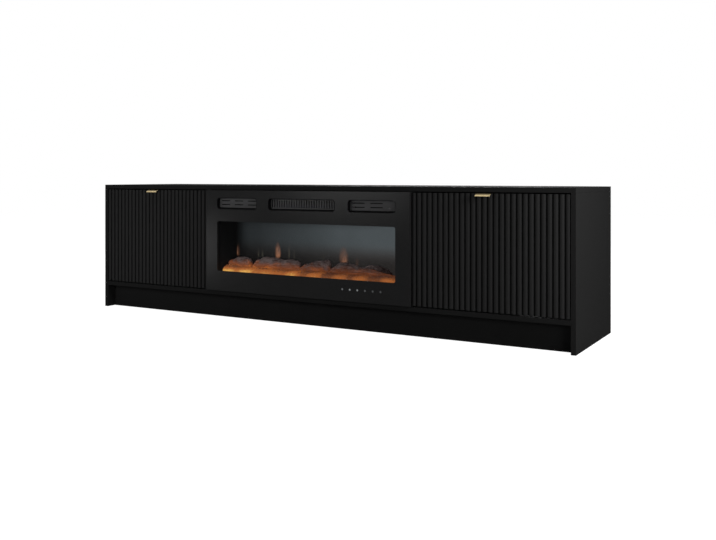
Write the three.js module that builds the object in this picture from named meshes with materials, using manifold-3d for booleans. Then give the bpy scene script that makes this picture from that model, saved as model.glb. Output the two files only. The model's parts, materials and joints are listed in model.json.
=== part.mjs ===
// Fireplace TV stand: a low cabinet with a drop-down door at each end and an electric fire between them.
// Millimetres, +X to the right, +Y to the back, +Z up. The origin is on the floor, under the middle.
import * as THREE from "three";
import { mergeVertices } from "three/addons/utils/BufferGeometryUtils.js";
import Module from "manifold-3d";

const wasm = await Module();
wasm.setup();

// Driving dimensions of the cabinet
const cabinet = {
  width: 2000,
  depth: 440,
  height: 512,
  board: 16,
  middleBay: 848,
  plinthHeight: 90,
  toeDepth: 40,
  backSheet: 3,
  railHeight: 50,
  shelfSetback: 50,
  cableHoleRadius: 30,
  cableHoleRise: 70,
};

// Doors, hinged at the bottom on two pins each
const door = { thickness: 18, sideGap: 3, bottomGap: 4, topGap: 4, hingeRise: 12 };
const flute = { pitch: 19.5, land: 14, depth: 4, crown: 1.5, arcSteps: 5 };
const handle = { width: 52, proud: 20, droop: 10, sheet: 1.5, backDrop: 18 };
const pivot = {
  pinRadius: 2,
  boreRadius: 2.4,
  bushRadius: 3.5,
  flangeRadius: 6,
  flange: 1.5,
  bushLength: 12,
  pinSeat: 10,
  pinReach: 10,
};

// A lever on the door carries a stud in the curved slot of a plate on the cabinet's side
const stay = {
  radius: 60,
  restAngle: -5,
  openAngle: 90,
  studRadius: 2.5,
  studPlay: 0.4,
  studTipGap: 0.5,
  plate: 2,
  rim: 3.5,
  leverWidth: 8,
  leverSheet: 2.5,
  footWidth: 22,
  footHeight: 20,
};
const latch = { width: 40, height: 12, depth: 30, offset: 130, strike: 1.5, strikeHeight: 20, inset: 2 };

// Front panel of the electric fire
const bezel = { gap: 2, proud: 12, sheet: 2, windowReturn: 6, returnSheet: 1.5 };
const fireWindow = { inset: 54, below: 76, above: 119, cornerRadius: 8 };
const vent = {
  sideShare: 0.245,
  middleShare: 0.376,
  outset: 1,
  height: 44,
  above: 29,
  cornerRadius: 12,
  wall: 1.5,
  recess: 15,
  plate: 2,
};
const slots = { columns: 3, rows: 2, height: 4.5, bar: 10, post: 22, margin: 9 };
const louvres = { count: 26, bar: 6.5, margin: 5 };
const sensor = { radius: 3, play: 0.3, depth: 7, fromEnd: 30, panel: 46 };
const keys = {
  count: 6,
  pitch: 30.6,
  inset: 57,
  rise: 42,
  radius: 4.2,
  play: 0.3,
  margin: 14,
  height: 24,
  board: 1.6,
};

// Steel case of the electric fire and what it holds
const fireCase = { sideGap: 20, inset: 2.5, depth: 150, sheet: 1.5, flangeGap: 1 };
const airSlot = { count: 8, width: 6, height: 40, pitch: 16, fromTop: 70 };
const chamber = { reveal: 2, sheet: 2, floorDrop: 13.5, headroom: 6.5 };
const glass = { thickness: 4, overlap: 6 };
const bed = {
  front: 22,
  rearGap: 2,
  lip: 16,
  ridge: 28,
  shelf: 22,
  ridgeBack: 44,
  skin: 3,
  endGap: 2,
  wave: 4,
  wavelength: 62,
};
const ledStrip = { endGap: 16, width: 20, board: 1.6, led: 5, ledHeight: 1.4, pitch: 37 };
const screen = { spindleGap: 16, thickness: 3 };
// Places and sizes of the logs: shares of the bed's half length along it, and of the shelf's depth otherwise
const logShares = [
  { name: "log_far_left", x: -0.8575, length: 0.27, y: 0.36, radius: 0.3, tip: 0.285 },
  { name: "log_left", x: -0.4225, length: 0.55, y: 0.37, radius: 0.325, tip: 0.3 },
  { name: "log_centre", x: 0.035, length: 0.325, y: 0.39, radius: 0.31, tip: 0.355 },
  { name: "log_right", x: 0.5375, length: 0.64, y: 0.27, radius: 0.33, tip: 0.15 },
  { name: "log_back", x: 0.671, length: 0.305, y: 0.755, radius: 0.235, tip: 0.22 },
];
// Each log's turn about the vertical, in degrees
const logYaws = { log_far_left: 4, log_left: -3, log_centre: 5, log_right: -4, log_back: 2 };
const logKnotShares = [0.78, 0.95, 1, 0.92, 0.97, 0.9, 1, 0.93, 0.74];
const spindle = {
  fromRear: 19,
  rise: 28,
  rodRadius: 3,
  endGap: 38,
  vanes: 16,
  vaneLength: 38,
  vaneHeight: 24,
  vaneSheet: 1.2,
  vaneTurn: 50,
};
const bearing = { thickness: 6, width: 14, play: 0.4 };
const spindleMotor = { radius: 14, length: 18, shaftRadius: 2 };
// The blower's and the heater's places from front to back are shares of the case's depth
const blower = {
  middleShare: 0.573,
  wheelShare: 0.12,
  frontShare: 0.387,
  backShare: 0.747,
  wheelInset: 10,
  blades: 16,
  blade: 1.2,
  bladeDepth: 6,
  disc: 2,
  discs: 3,
  shaftRadius: 2.5,
  shaftPlay: 0.4,
  housingInset: 13,
  housingHeight: 60,
  legWidth: 20,
};
const blowerMotor = { radius: 16, length: 30, footWidth: 14 };
const heater = { frontShare: 0.24, frame: 6, fin: 1.2, fins: 24, finShare: 0.65 };
const control = {
  offset: 4,
  width: 140,
  front: 24,
  back: 100,
  board: 1.6,
  standoff: 6,
  standoffRadius: 3,
  standoffInset: 8,
  transformer: 34,
  relay: 16,
};
const gland = {
  inset: 74,
  rise: 34,
  radius: 7,
  bore: 3.5,
  flangeRadius: 10,
  flange: 3,
  nose: 18,
  noseRadius: 5,
};

const clearance = 0.3;
const overrun = 1;
const roundSteps = 16;
const holeSteps = 32;

// Edges shared by the boards that meet there
const half = cabinet.width / 2;
const front = -(cabinet.depth - handle.proud) / 2;
const back = front + cabinet.depth;
const sideInner = half - cabinet.board;
const partitionInner = cabinet.middleBay / 2;
const partitionOuter = partitionInner + cabinet.board;
const floorTop = cabinet.plinthHeight + cabinet.board;
const topUnder = cabinet.height - cabinet.board;
const backSheetFront = back - cabinet.backSheet;
const bayMiddle = (partitionOuter + sideInner) / 2;

const doorWidth = sideInner - partitionOuter - 2 * door.sideGap;
const doorHeight = topUnder - floorTop - door.bottomGap - door.topGap;
const pivotY = front + door.thickness / 2;
const pivotZ = floorTop + door.bottomGap + door.hingeRise;
const boreDepth = pivot.bushLength + overrun;
const sides = [
  { name: "left", sign: -1 },
  { name: "right", sign: 1 },
];

// Finishes
const finish = (color, roughness, metalness, extra = {}) =>
  new THREE.MeshStandardMaterial({ color, roughness, metalness, ...extra });
const blackBoard = finish(0x1c1c1d, 0.55, 0);
const blackSteel = finish(0x202022, 0.5, 0.3);
const blackPlastic = finish(0x18181a, 0.45, 0);
const greyPlastic = finish(0x8a8c90, 0.4, 0);
const gold = finish(0xc9a24e, 0.25, 1);
const steel = finish(0xa9abae, 0.35, 1);
const nylon = finish(0x1d1d1e, 0.6, 0);
const clearGlass = finish(0x9aa0a4, 0.05, 0, { transparent: true, opacity: 0.35 });
const frosted = finish(0x3a3f44, 0.5, 0);
const ember = finish(0xd98324, 0.6, 0);
const charredWood = finish(0x4a3328, 0.85, 0);
const mirrorFoil = finish(0xd0d2d5, 0.15, 1);
const circuitBoard = finish(0x1f4a33, 0.5, 0);
const ceramic = finish(0xcfcabf, 0.7, 0);

// Shapes and booleans
const alongX = new THREE.Matrix4().makeBasis(
  new THREE.Vector3(0, 1, 0),
  new THREE.Vector3(0, 0, 1),
  new THREE.Vector3(1, 0, 0),
);
const alongMinusY = new THREE.Matrix4().makeBasis(
  new THREE.Vector3(1, 0, 0),
  new THREE.Vector3(0, 0, 1),
  new THREE.Vector3(0, -1, 0),
);
const turnedAlongX = new THREE.Matrix4().makeBasis(
  new THREE.Vector3(0, 1, 0),
  new THREE.Vector3(1, 0, 0),
  new THREE.Vector3(0, 0, -1),
);
const turnedAlongMinusX = new THREE.Matrix4().makeBasis(
  new THREE.Vector3(0, -1, 0),
  new THREE.Vector3(-1, 0, 0),
  new THREE.Vector3(0, 0, -1),
);

// A box between pairs of faces: each face lies exactly on the value that is given for it
function slab(spanX, spanY, spanZ) {
  const geometry = new THREE.BoxGeometry(1, 1, 1);
  const position = geometry.attributes.position;
  const faces = [spanX, spanY, spanZ].map(([a, b]) => [Math.min(a, b), Math.max(a, b)]);
  for (let i = 0; i < position.count; i++) {
    const corner = [position.getX(i), position.getY(i), position.getZ(i)];
    position.setXYZ(i, ...corner.map((share, axis) => faces[axis][share < 0 ? 0 : 1]));
  }
  return geometry;
}

// A span along X on one side of the middle
const across = (sign, a, b) => [sign * a, sign * b];

// An outline in Y and Z, drawn out along X
function drawnAlongX(outline, [a, b], options = {}) {
  const low = Math.min(a, b);
  const geometry = new THREE.ExtrudeGeometry(outline, {
    depth: Math.max(a, b) - low,
    bevelEnabled: false,
    curveSegments: 6,
    ...options,
  });
  return geometry.applyMatrix4(alongX).translate(low, 0, 0);
}

// An outline in X and Z, with its thickness along Y
function sheetInXZ(outline, [yFront, yBack]) {
  const geometry = new THREE.ExtrudeGeometry(outline, {
    depth: yBack - yFront,
    bevelEnabled: false,
    curveSegments: 4,
  });
  return geometry.applyMatrix4(alongMinusY).translate(0, yBack, 0);
}

// A turned piece: points are [radius, distance along the axis]
function turned(points, steps = roundSteps) {
  return new THREE.LatheGeometry(
    points.map(([radius, along]) => new THREE.Vector2(radius, along)),
    steps,
  );
}
const rod = (radius, length, steps) =>
  turned([[0, 0], [radius, 0], [radius, length], [0, length]], steps);

function roundedRectangle([x0, x1], [z0, z1], radius, Outline = THREE.Shape) {
  const outline = new Outline();
  const quarter = Math.PI / 2;
  outline.absarc(x1 - radius, z0 + radius, radius, -quarter, 0, false);
  outline.absarc(x1 - radius, z1 - radius, radius, 0, quarter, false);
  outline.absarc(x0 + radius, z1 - radius, radius, quarter, 2 * quarter, false);
  outline.absarc(x0 + radius, z0 + radius, radius, 2 * quarter, 3 * quarter, false);
  outline.closePath();
  return outline;
}

function toSolid(geometry) {
  const bare = geometry.clone();
  bare.deleteAttribute("normal");
  bare.deleteAttribute("uv");
  const merged = mergeVertices(bare);
  return new wasm.Manifold(
    new wasm.Mesh({
      numProp: 3,
      vertProperties: merged.attributes.position.array,
      triVerts: Uint32Array.from(merged.index.array),
    }),
  );
}

function toGeometry(solid) {
  const mesh = solid.getMesh();
  return new THREE.BufferGeometry()
    .setAttribute("position", new THREE.BufferAttribute(mesh.vertProperties, 3))
    .setIndex(new THREE.BufferAttribute(mesh.triVerts, 1));
}

const cut = (base, ...tools) =>
  toGeometry(tools.reduce((solid, tool) => solid.subtract(toSolid(tool)), toSolid(base)));
const join = (base, ...others) =>
  toGeometry(others.reduce((solid, other) => solid.add(toSolid(other)), toSolid(base)));
const common = (a, b) => toGeometry(toSolid(a).intersect(toSolid(b)));

function piece(name, geometry, material) {
  const mesh = new THREE.Mesh(geometry, material);
  mesh.name = name;
  return mesh;
}

// Boards of the cabinet
function pinHole(wallX, sign) {
  const depth = pivot.pinSeat + clearance + overrun;
  const hole = rod(pivot.pinRadius + clearance, depth);
  return hole
    .applyMatrix4(sign > 0 ? turnedAlongX : turnedAlongMinusX)
    .translate(wallX - sign * overrun, pivotY, pivotZ);
}

function carcass() {
  const group = new THREE.Group();
  const depth = [front, back];
  const inside = [floorTop, topUnder];
  const plinthFront = front + cabinet.toeDepth;
  group.add(piece("top_panel", slab([-half, half], depth, [topUnder, cabinet.height]), blackBoard));
  const floorBoard = slab([-sideInner, sideInner], depth, [cabinet.plinthHeight, floorTop]);
  group.add(piece("floor_panel", floorBoard, blackBoard));
  group.add(
    piece(
      "plinth_front",
      slab([-sideInner, sideInner], [plinthFront, plinthFront + cabinet.board], [0, cabinet.plinthHeight]),
      blackBoard,
    ),
  );
  group.add(
    piece(
      "plinth_rear_rail",
      slab([-sideInner, sideInner], [back - cabinet.board, back], [0, cabinet.plinthHeight]),
      blackBoard,
    ),
  );
  group.add(
    piece(
      "rear_stretcher",
      slab(
        [-partitionInner, partitionInner],
        [back - cabinet.board, back],
        [topUnder - cabinet.railHeight, topUnder],
      ),
      blackBoard,
    ),
  );
  for (const { name, sign } of sides) {
    const sidePanel = slab(across(sign, sideInner, half), depth, [0, topUnder]);
    const partition = slab(across(sign, partitionInner, partitionOuter), depth, inside);
    const bay = across(sign, partitionOuter, sideInner);
    const backSheet = slab(bay, [backSheetFront, back], inside);
    const cableHole = rod(cabinet.cableHoleRadius, cabinet.backSheet + 2 * overrun, holeSteps).translate(
      sign * bayMiddle,
      backSheetFront - overrun,
      floorTop + cabinet.cableHoleRise,
    );
    const shelfUnder = (floorTop + topUnder - cabinet.board) / 2;
    const shelfDepth = [front + cabinet.shelfSetback, backSheetFront];
    const shelf = slab(bay, shelfDepth, [shelfUnder, shelfUnder + cabinet.board]);
    group.add(piece(name + "_side_panel", cut(sidePanel, pinHole(sign * sideInner, sign)), blackBoard));
    group.add(piece(name + "_partition", cut(partition, pinHole(sign * partitionOuter, -sign)), blackBoard));
    group.add(piece(name + "_back_panel", cut(backSheet, cableHole), blackBoard));
    group.add(piece(name + "_shelf", shelf, blackBoard));
  }
  return group;
}

// Front edge of one flute, from its groove up over a rounded land and down again
function fluteEdge(x) {
  const points = [[x, flute.depth]];
  for (let i = 0; i <= flute.arcSteps; i++) {
    const share = i / flute.arcSteps;
    const rise = 4 * share * (1 - share);
    points.push([x + share * flute.land, flute.crown * (1 - rise)]);
  }
  points.push([x + flute.land, flute.depth]);
  return points;
}

// Door panel in its own frame: left end at X 0, front at Y 0, bottom edge at Z 0
function flutedPanel() {
  const count = Math.ceil(doorWidth / flute.pitch);
  const outline = new THREE.Shape();
  outline.moveTo(0, door.thickness);
  for (let i = 0; i < count; i++) {
    for (const [x, y] of fluteEdge(i * flute.pitch)) outline.lineTo(x, y);
  }
  outline.lineTo(count * flute.pitch, flute.depth);
  outline.lineTo(count * flute.pitch, door.thickness);
  const drawn = new THREE.ExtrudeGeometry(outline, { depth: doorHeight, bevelEnabled: false });
  const trimmed = common(drawn, slab([0, doorWidth], [0, door.thickness], [0, doorHeight]));
  const bore = rod(pivot.bushRadius + clearance, boreDepth + overrun);
  const leftBore = bore
    .clone()
    .applyMatrix4(turnedAlongX)
    .translate(-overrun, door.thickness / 2, door.hingeRise);
  const rightBore = bore
    .clone()
    .applyMatrix4(turnedAlongMinusX)
    .translate(doorWidth + overrun, door.thickness / 2, door.hingeRise);
  return cut(trimmed, leftBore, rightBore);
}

// Edge pull: a back leg behind the door, a sheet over its top edge and a tab that droops in an arc in front
function edgePull() {
  const top = doorHeight + handle.sheet;
  const legBack = door.thickness + handle.sheet;
  const radius = (handle.proud ** 2 + handle.droop ** 2) / (2 * handle.droop);
  const level = Math.PI / 2;
  const tip = level + 2 * Math.atan2(handle.droop, handle.proud);
  const outline = new THREE.Shape();
  outline.absarc(0, top - radius, radius, level, tip, false);
  outline.absarc(0, top - radius, radius - handle.sheet, tip, level, true);
  outline.lineTo(door.thickness, doorHeight);
  outline.lineTo(door.thickness, doorHeight - handle.backDrop);
  outline.lineTo(legBack, doorHeight - handle.backDrop);
  outline.lineTo(legBack, top);
  const middleFlute = Math.floor(doorWidth / flute.pitch / 2);
  const middle = middleFlute * flute.pitch + flute.land / 2;
  return drawnAlongX(outline, [middle - handle.width / 2, middle + handle.width / 2]);
}

function bush() {
  return turned([
    [pivot.boreRadius, -pivot.flange],
    [pivot.flangeRadius, -pivot.flange],
    [pivot.flangeRadius, 0],
    [pivot.bushRadius, 0],
    [pivot.bushRadius, pivot.bushLength],
    [pivot.boreRadius, pivot.bushLength],
    [pivot.boreRadius, -pivot.flange],
  ]);
}

// Lever in the door's frame: foot on the door's back, arm behind it, stud towards the cabinet's side
function stayLever(outerX, inward) {
  const restAngle = THREE.MathUtils.degToRad(stay.restAngle);
  const studY = door.thickness / 2 + stay.radius * Math.cos(restAngle);
  const studZ = door.hingeRise + stay.radius * Math.sin(restAngle);
  const armLow = studZ - stay.leverWidth / 2;
  const armBack = studY + stay.leverWidth / 2;
  const sheet = [outerX, outerX + inward * stay.leverSheet];
  const arm = slab(sheet, [door.thickness, armBack], [armLow, armLow + stay.leverWidth]);
  const foot = slab(
    [outerX, outerX + inward * stay.footWidth],
    [door.thickness, door.thickness + stay.leverSheet],
    [armLow, armLow + stay.footHeight],
  );
  const studLength = stay.leverSheet / 2 + door.sideGap - stay.studTipGap;
  const stud = rod(stay.studRadius, studLength)
    .applyMatrix4(inward > 0 ? turnedAlongMinusX : turnedAlongX)
    .translate(outerX + (inward * stay.leverSheet) / 2, studY, studZ);
  return join(arm, foot, stud);
}

// Plate on the cabinet's side, with a slot that is an arc about the door's pivot
function stayPlate(sign) {
  const start = THREE.MathUtils.degToRad(stay.restAngle);
  const end = start + THREE.MathUtils.degToRad(stay.openAngle);
  const slotHalf = stay.studRadius + stay.studPlay;
  const plateHalf = slotHalf + stay.rim;
  const margin = plateHalf / stay.radius;
  const outline = new THREE.Shape();
  outline.absarc(0, 0, stay.radius + plateHalf, start - margin, end + margin, false);
  outline.absarc(0, 0, stay.radius - plateHalf, end + margin, start - margin, true);
  outline.closePath();
  const slot = new THREE.Path();
  const endX = stay.radius * Math.cos(end);
  const endZ = stay.radius * Math.sin(end);
  const startX = stay.radius * Math.cos(start);
  const startZ = stay.radius * Math.sin(start);
  slot.absarc(0, 0, stay.radius + slotHalf, start, end, false);
  slot.absarc(endX, endZ, slotHalf, end, end + Math.PI, false);
  slot.absarc(0, 0, stay.radius - slotHalf, end, start, true);
  slot.absarc(startX, startZ, slotHalf, start + Math.PI, start + 2 * Math.PI, false);
  slot.closePath();
  outline.holes.push(slot);
  const span = across(sign, sideInner - stay.plate, sideInner);
  return drawnAlongX(outline, span, { curveSegments: 8 }).translate(0, pivotY, pivotZ);
}

function doorSet({ name, sign }) {
  const group = new THREE.Group();
  const leftEnd = sign > 0 ? partitionOuter + door.sideGap : -sideInner + door.sideGap;
  const swinging = new THREE.Group();
  swinging.position.set(leftEnd, front, floorTop + door.bottomGap);
  group.add(swinging);
  swinging.add(piece(name + "_door", flutedPanel(), blackBoard));
  swinging.add(piece(name + "_handle", edgePull(), gold));

  const outerX = sign > 0 ? doorWidth : 0;
  swinging.add(piece(name + "_stay_lever", stayLever(outerX, -sign), steel));
  group.add(piece(name + "_stay_plate", stayPlate(sign), steel));

  const ends = [
    { place: "outer", wallX: sign * sideInner, doorX: outerX, inward: -sign },
    { place: "inner", wallX: sign * partitionOuter, doorX: doorWidth - outerX, inward: sign },
  ];
  for (const { place, wallX, doorX, inward } of ends) {
    const turn = inward > 0 ? turnedAlongX : turnedAlongMinusX;
    const sleeve = piece(`${name}_door_${place}_bush`, bush().applyMatrix4(turn), nylon);
    sleeve.position.set(doorX, door.thickness / 2, door.hingeRise);
    swinging.add(sleeve);
    const pinLength = pivot.pinSeat + door.sideGap + pivot.pinReach;
    const pinRod = rod(pivot.pinRadius, pinLength).applyMatrix4(turn);
    const pin = piece(`${name}_door_${place}_pin`, pinRod, blackSteel);
    pin.position.set(wallX - inward * pivot.pinSeat, pivotY, pivotZ);
    group.add(pin);
  }

  const latchX = sign * (bayMiddle - latch.offset);
  const latchSpan = [latchX - latch.width / 2, latchX + latch.width / 2];
  const latchFront = front + door.thickness + latch.strike + clearance;
  group.add(
    piece(
      name + "_magnet_catch",
      slab(latchSpan, [latchFront, latchFront + latch.depth], [topUnder - latch.height, topUnder]),
      blackPlastic,
    ),
  );
  const strikeTop = doorHeight - latch.inset;
  swinging.add(
    piece(
      name + "_strike_plate",
      slab(
        latchSpan.map((x) => x - leftEnd),
        [door.thickness, door.thickness + latch.strike],
        [strikeTop - latch.strikeHeight, strikeTop],
      ),
      steel,
    ),
  );
  return group;
}

// The electric fire is drawn in its own frame: Y 0 is the cabinet's front, Z 0 the cabinet's floor panel
const grow = ([a, b], by) => [a - by, b + by];
const bezelSpan = [-partitionOuter, partitionOuter];
const bezelRise = grow([0, topUnder - floorTop], -bezel.gap);
const windowSpan = grow(bezelSpan, -fireWindow.inset);
const windowRise = [bezelRise[0] + fireWindow.below, bezelRise[1] - fireWindow.above];
const ventRise = [bezelRise[1] - vent.above - vent.height, bezelRise[1] - vent.above];
const ventMiddle = (ventRise[0] + ventRise[1]) / 2;
const sheetBack = -bezel.proud + bezel.sheet;
const glassFront = -bezel.proud + bezel.sheet + bezel.windowReturn;
const caseRise = grow(bezelRise, -fireCase.inset);
const caseBottom = caseRise[0];
const caseHalf = partitionInner - fireCase.sideGap;
const caseInner = caseHalf - fireCase.sheet;
const chamberHalf = windowSpan[1] + chamber.reveal;
const chamberFloor = windowRise[0] - chamber.floorDrop;
const chamberBed = chamberFloor + chamber.sheet + clearance;
const chamberCeiling = windowRise[1] + chamber.headroom;
const spindleY = fireCase.depth - spindle.fromRear;
const spindleZ = chamberFloor + spindle.rise;
const spindleHalf = chamberHalf - spindle.endGap;
const screenBack = spindleY - screen.spindleGap;
const screenFront = screenBack - screen.thickness;
const bedHalf = chamberHalf - bed.endGap;
const bedBack = screenFront - bed.rearGap;
const caseRear = fireCase.depth - fireCase.sheet - clearance;
const keyX = (index) => windowSpan[1] - keys.inset - (keys.count - 1 - index) * keys.pitch;
const keyZ = bezelRise[0] + keys.rise;
const glandX = gland.inset - caseHalf;

const windowWidth = 2 * windowSpan[1];
const ventEnd = windowSpan[1] + vent.outset;
const ventWidth = vent.sideShare * windowWidth;
const heaterHalf = (vent.middleShare * windowWidth) / 2;
const ventSpans = {
  left_vent_grille: [-ventEnd, ventWidth - ventEnd],
  heater_grille: [-heaterHalf, heaterHalf],
  right_vent_grille: [ventEnd - ventWidth, ventEnd],
};
const housingHalf = heaterHalf - blower.housingInset;
const housingDepth = [blower.frontShare * fireCase.depth, blower.backShare * fireCase.depth];
const wheelHalf = housingHalf - blower.wheelInset;
const wheelRadius = blower.wheelShare * fireCase.depth;
const wheelY = blower.middleShare * fireCase.depth;

function frontPanel() {
  const returnBack = -clearance;
  const block = slab(bezelSpan, [-bezel.proud, returnBack], bezelRise);
  const hollowDepth = [sheetBack, returnBack + overrun];
  const hollow = slab(grow(bezelSpan, -bezel.sheet), hollowDepth, grow(bezelRise, -bezel.sheet));
  const through = [-bezel.proud - overrun, sheetBack + overrun];
  const ventHoles = Object.values(ventSpans).map((span) =>
    sheetInXZ(roundedRectangle(span, ventRise, vent.cornerRadius), through),
  );
  const keyHoles = Array.from({ length: keys.count }, (_, i) =>
    rod(keys.radius + keys.play, bezel.sheet + 2 * overrun).translate(keyX(i), through[0], keyZ),
  );
  const windowHole = roundedRectangle(windowSpan, windowRise, fireWindow.cornerRadius);
  const tray = cut(block, hollow, ...ventHoles, ...keyHoles, sheetInXZ(windowHole, through));
  const rim = roundedRectangle(
    grow(windowSpan, bezel.returnSheet),
    grow(windowRise, bezel.returnSheet),
    fireWindow.cornerRadius + bezel.returnSheet,
  );
  rim.holes.push(roundedRectangle(windowSpan, windowRise, fireWindow.cornerRadius, THREE.Path));
  return join(tray, sheetInXZ(rim, [sheetBack - bezel.sheet / 2, glassFront - clearance]));
}

// A pocket behind an opening of the front panel, with a slotted plate at its bottom
const plateFront = -bezel.proud + vent.recess;
function ventPocket(span, holes) {
  const outerSpan = grow(span, -clearance);
  const outerRise = grow(ventRise, -clearance);
  const radius = vent.cornerRadius - clearance;
  const block = roundedRectangle(outerSpan, outerRise, radius);
  const pocket = roundedRectangle(grow(outerSpan, -vent.wall), grow(outerRise, -vent.wall), radius - vent.wall);
  return cut(
    sheetInXZ(block, [-bezel.proud, plateFront + vent.plate]),
    sheetInXZ(pocket, [-bezel.proud - overrun, plateFront]),
    ...holes,
  );
}

// Slots through a vent's plate, in columns and rows with bars between them
function slotGrid([x0, x1], [z0, z1], columns, rows, post, bar) {
  const width = (x1 - x0 - (columns - 1) * post) / columns;
  const height = (z1 - z0 - (rows - 1) * bar) / rows;
  const through = [plateFront - overrun, plateFront + vent.plate + overrun];
  const holes = [];
  for (let column = 0; column < columns; column++) {
    for (let row = 0; row < rows; row++) {
      const x = x0 + column * (width + post);
      const z = z0 + row * (height + bar);
      holes.push(slab([x, x + width], through, [z, z + height]));
    }
  }
  return holes;
}

function vents() {
  const inset = vent.wall + clearance + slots.margin;
  const rowPitch = slots.height + slots.bar;
  const slotRise = grow([ventMiddle, ventMiddle], (slots.rows * rowPitch - slots.bar) / 2);
  const leftHoles = slotGrid(
    grow(ventSpans.left_vent_grille, -inset),
    slotRise,
    slots.columns,
    slots.rows,
    slots.post,
    slots.bar,
  );
  const [rightStart, rightEnd] = grow(ventSpans.right_vent_grille, -inset);
  const rightHoles = slotGrid(
    [rightStart, rightEnd - sensor.panel],
    slotRise,
    slots.columns - 1,
    slots.rows,
    slots.post,
    slots.bar,
  );
  const sensorX = ventEnd - vent.wall - sensor.fromEnd;
  const sensorZ = slotRise[0] + slots.height / 2;
  const sensorHole = rod(sensor.radius + sensor.play, vent.plate + 2 * overrun);
  sensorHole.translate(sensorX, plateFront - overrun, sensorZ);
  const louvreInset = vent.wall + clearance + louvres.margin;
  const louvreHoles = slotGrid(
    grow(ventSpans.heater_grille, -louvreInset),
    grow(ventRise, -louvreInset),
    louvres.count,
    1,
    louvres.bar,
    0,
  );
  const receiver = piece("ir_receiver", rod(sensor.radius, sensor.depth), blackPlastic);
  receiver.position.set(sensorX, plateFront - overrun, sensorZ);
  return [
    piece("left_vent_grille", ventPocket(ventSpans.left_vent_grille, leftHoles), blackPlastic),
    piece("heater_grille", ventPocket(ventSpans.heater_grille, louvreHoles), blackPlastic),
    piece(
      "right_vent_grille",
      ventPocket(ventSpans.right_vent_grille, [...rightHoles, sensorHole]),
      blackPlastic,
    ),
    receiver,
  ];
}

function touchStrip() {
  const boardFront = sheetBack + clearance;
  const span = grow([keyX(0), keyX(keys.count - 1)], keys.margin);
  const board = slab(span, [boardFront, boardFront + keys.board], grow([keyZ, keyZ], keys.height / 2));
  const reach = boardFront + keys.board / 2 + bezel.proud;
  const guides = Array.from({ length: keys.count }, (_, i) =>
    rod(keys.radius, reach).translate(keyX(i), -bezel.proud, keyZ),
  );
  return join(board, ...guides);
}

// Case: an open-fronted steel box with a flange that bears on the cabinet's partitions
function steelCase() {
  const flangeFront = -clearance - fireCase.sheet;
  const box = slab([-caseHalf, caseHalf], [flangeFront, fireCase.depth], caseRise);
  const flangeSpan = grow(bezelSpan, -bezel.sheet - fireCase.flangeGap);
  const flange = slab(flangeSpan, [flangeFront, -clearance], caseRise);
  const hollow = slab(
    [-caseInner, caseInner],
    [flangeFront - overrun, fireCase.depth - fireCase.sheet],
    grow(caseRise, -fireCase.sheet),
  );
  const cordHole = rod(gland.radius + clearance, fireCase.sheet + 2 * overrun).translate(
    glandX,
    fireCase.depth - fireCase.sheet - overrun,
    caseBottom + gland.rise,
  );
  const slotTop = caseRise[1] - airSlot.fromTop;
  const airSlots = Array.from({ length: airSlot.count }, (_, i) => {
    const x = (i - (airSlot.count - 1) / 2) * airSlot.pitch;
    return slab(
      [x - airSlot.width / 2, x + airSlot.width / 2],
      [fireCase.depth - fireCase.sheet - overrun, fireCase.depth + overrun],
      [slotTop - airSlot.height, slotTop],
    );
  });
  return cut(join(box, flange), hollow, cordHole, ...airSlots);
}

// Liner: floor and two walls of the fire chamber, with the spindle's bearing at the left
function chamberLiner() {
  const wallTop = chamberCeiling - clearance;
  const depth = [clearance, caseRear];
  const floorSpan = [-caseInner + clearance, caseInner - clearance];
  const floor = slab(floorSpan, depth, [chamberFloor, chamberFloor + chamber.sheet]);
  const walls = [-1, 1].map((sign) =>
    slab(across(sign, chamberHalf, chamberHalf + chamber.sheet), depth, [chamberFloor, wallTop]),
  );
  const blockTop = spindleZ + bearing.width / 2;
  const block = slab(
    [-chamberHalf - chamber.sheet, -chamberHalf + bearing.thickness],
    [spindleY - bearing.width / 2, spindleY + bearing.width / 2],
    [chamberFloor, blockTop],
  );
  const hole = rod(spindle.rodRadius + bearing.play, bearing.thickness + overrun)
    .applyMatrix4(turnedAlongX)
    .translate(-chamberHalf, spindleY, spindleZ);
  return cut(join(floor, ...walls, block), hole);
}

// Ember bed: a hollow moulding with a ridge in front and a level shelf for the logs behind it
function emberBed() {
  const foot = chamberBed;
  const outline = new THREE.Shape();
  outline.moveTo(bed.front, foot);
  outline.lineTo(bed.front + bed.skin, foot);
  outline.lineTo(bed.front + bed.skin, foot + bed.lip - bed.skin);
  outline.lineTo(bed.ridgeBack, foot + bed.shelf - bed.skin);
  outline.lineTo(bedBack - bed.skin, foot + bed.shelf - bed.skin);
  outline.lineTo(bedBack - bed.skin, foot);
  outline.lineTo(bedBack, foot);
  outline.lineTo(bedBack, foot + bed.shelf);
  outline.lineTo(bed.ridgeBack, foot + bed.shelf);
  outline.lineTo((bed.front + bed.ridgeBack) / 2, foot + bed.ridge);
  outline.lineTo(bed.front, foot + bed.lip);
  const waves = (2 * bedHalf) / bed.wavelength;
  const geometry = drawnAlongX(outline, [-bedHalf, bedHalf], { steps: Math.round(waves * 4) });
  const position = geometry.attributes.position;
  for (let i = 0; i < position.count; i++) {
    const x = position.getX(i);
    const onRidge = position.getZ(i) > foot + bed.shelf + bed.wave;
    if (onRidge) position.setZ(i, position.getZ(i) + bed.wave * Math.sin((2 * Math.PI * x) / bed.wavelength));
  }
  return geometry;
}

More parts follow.
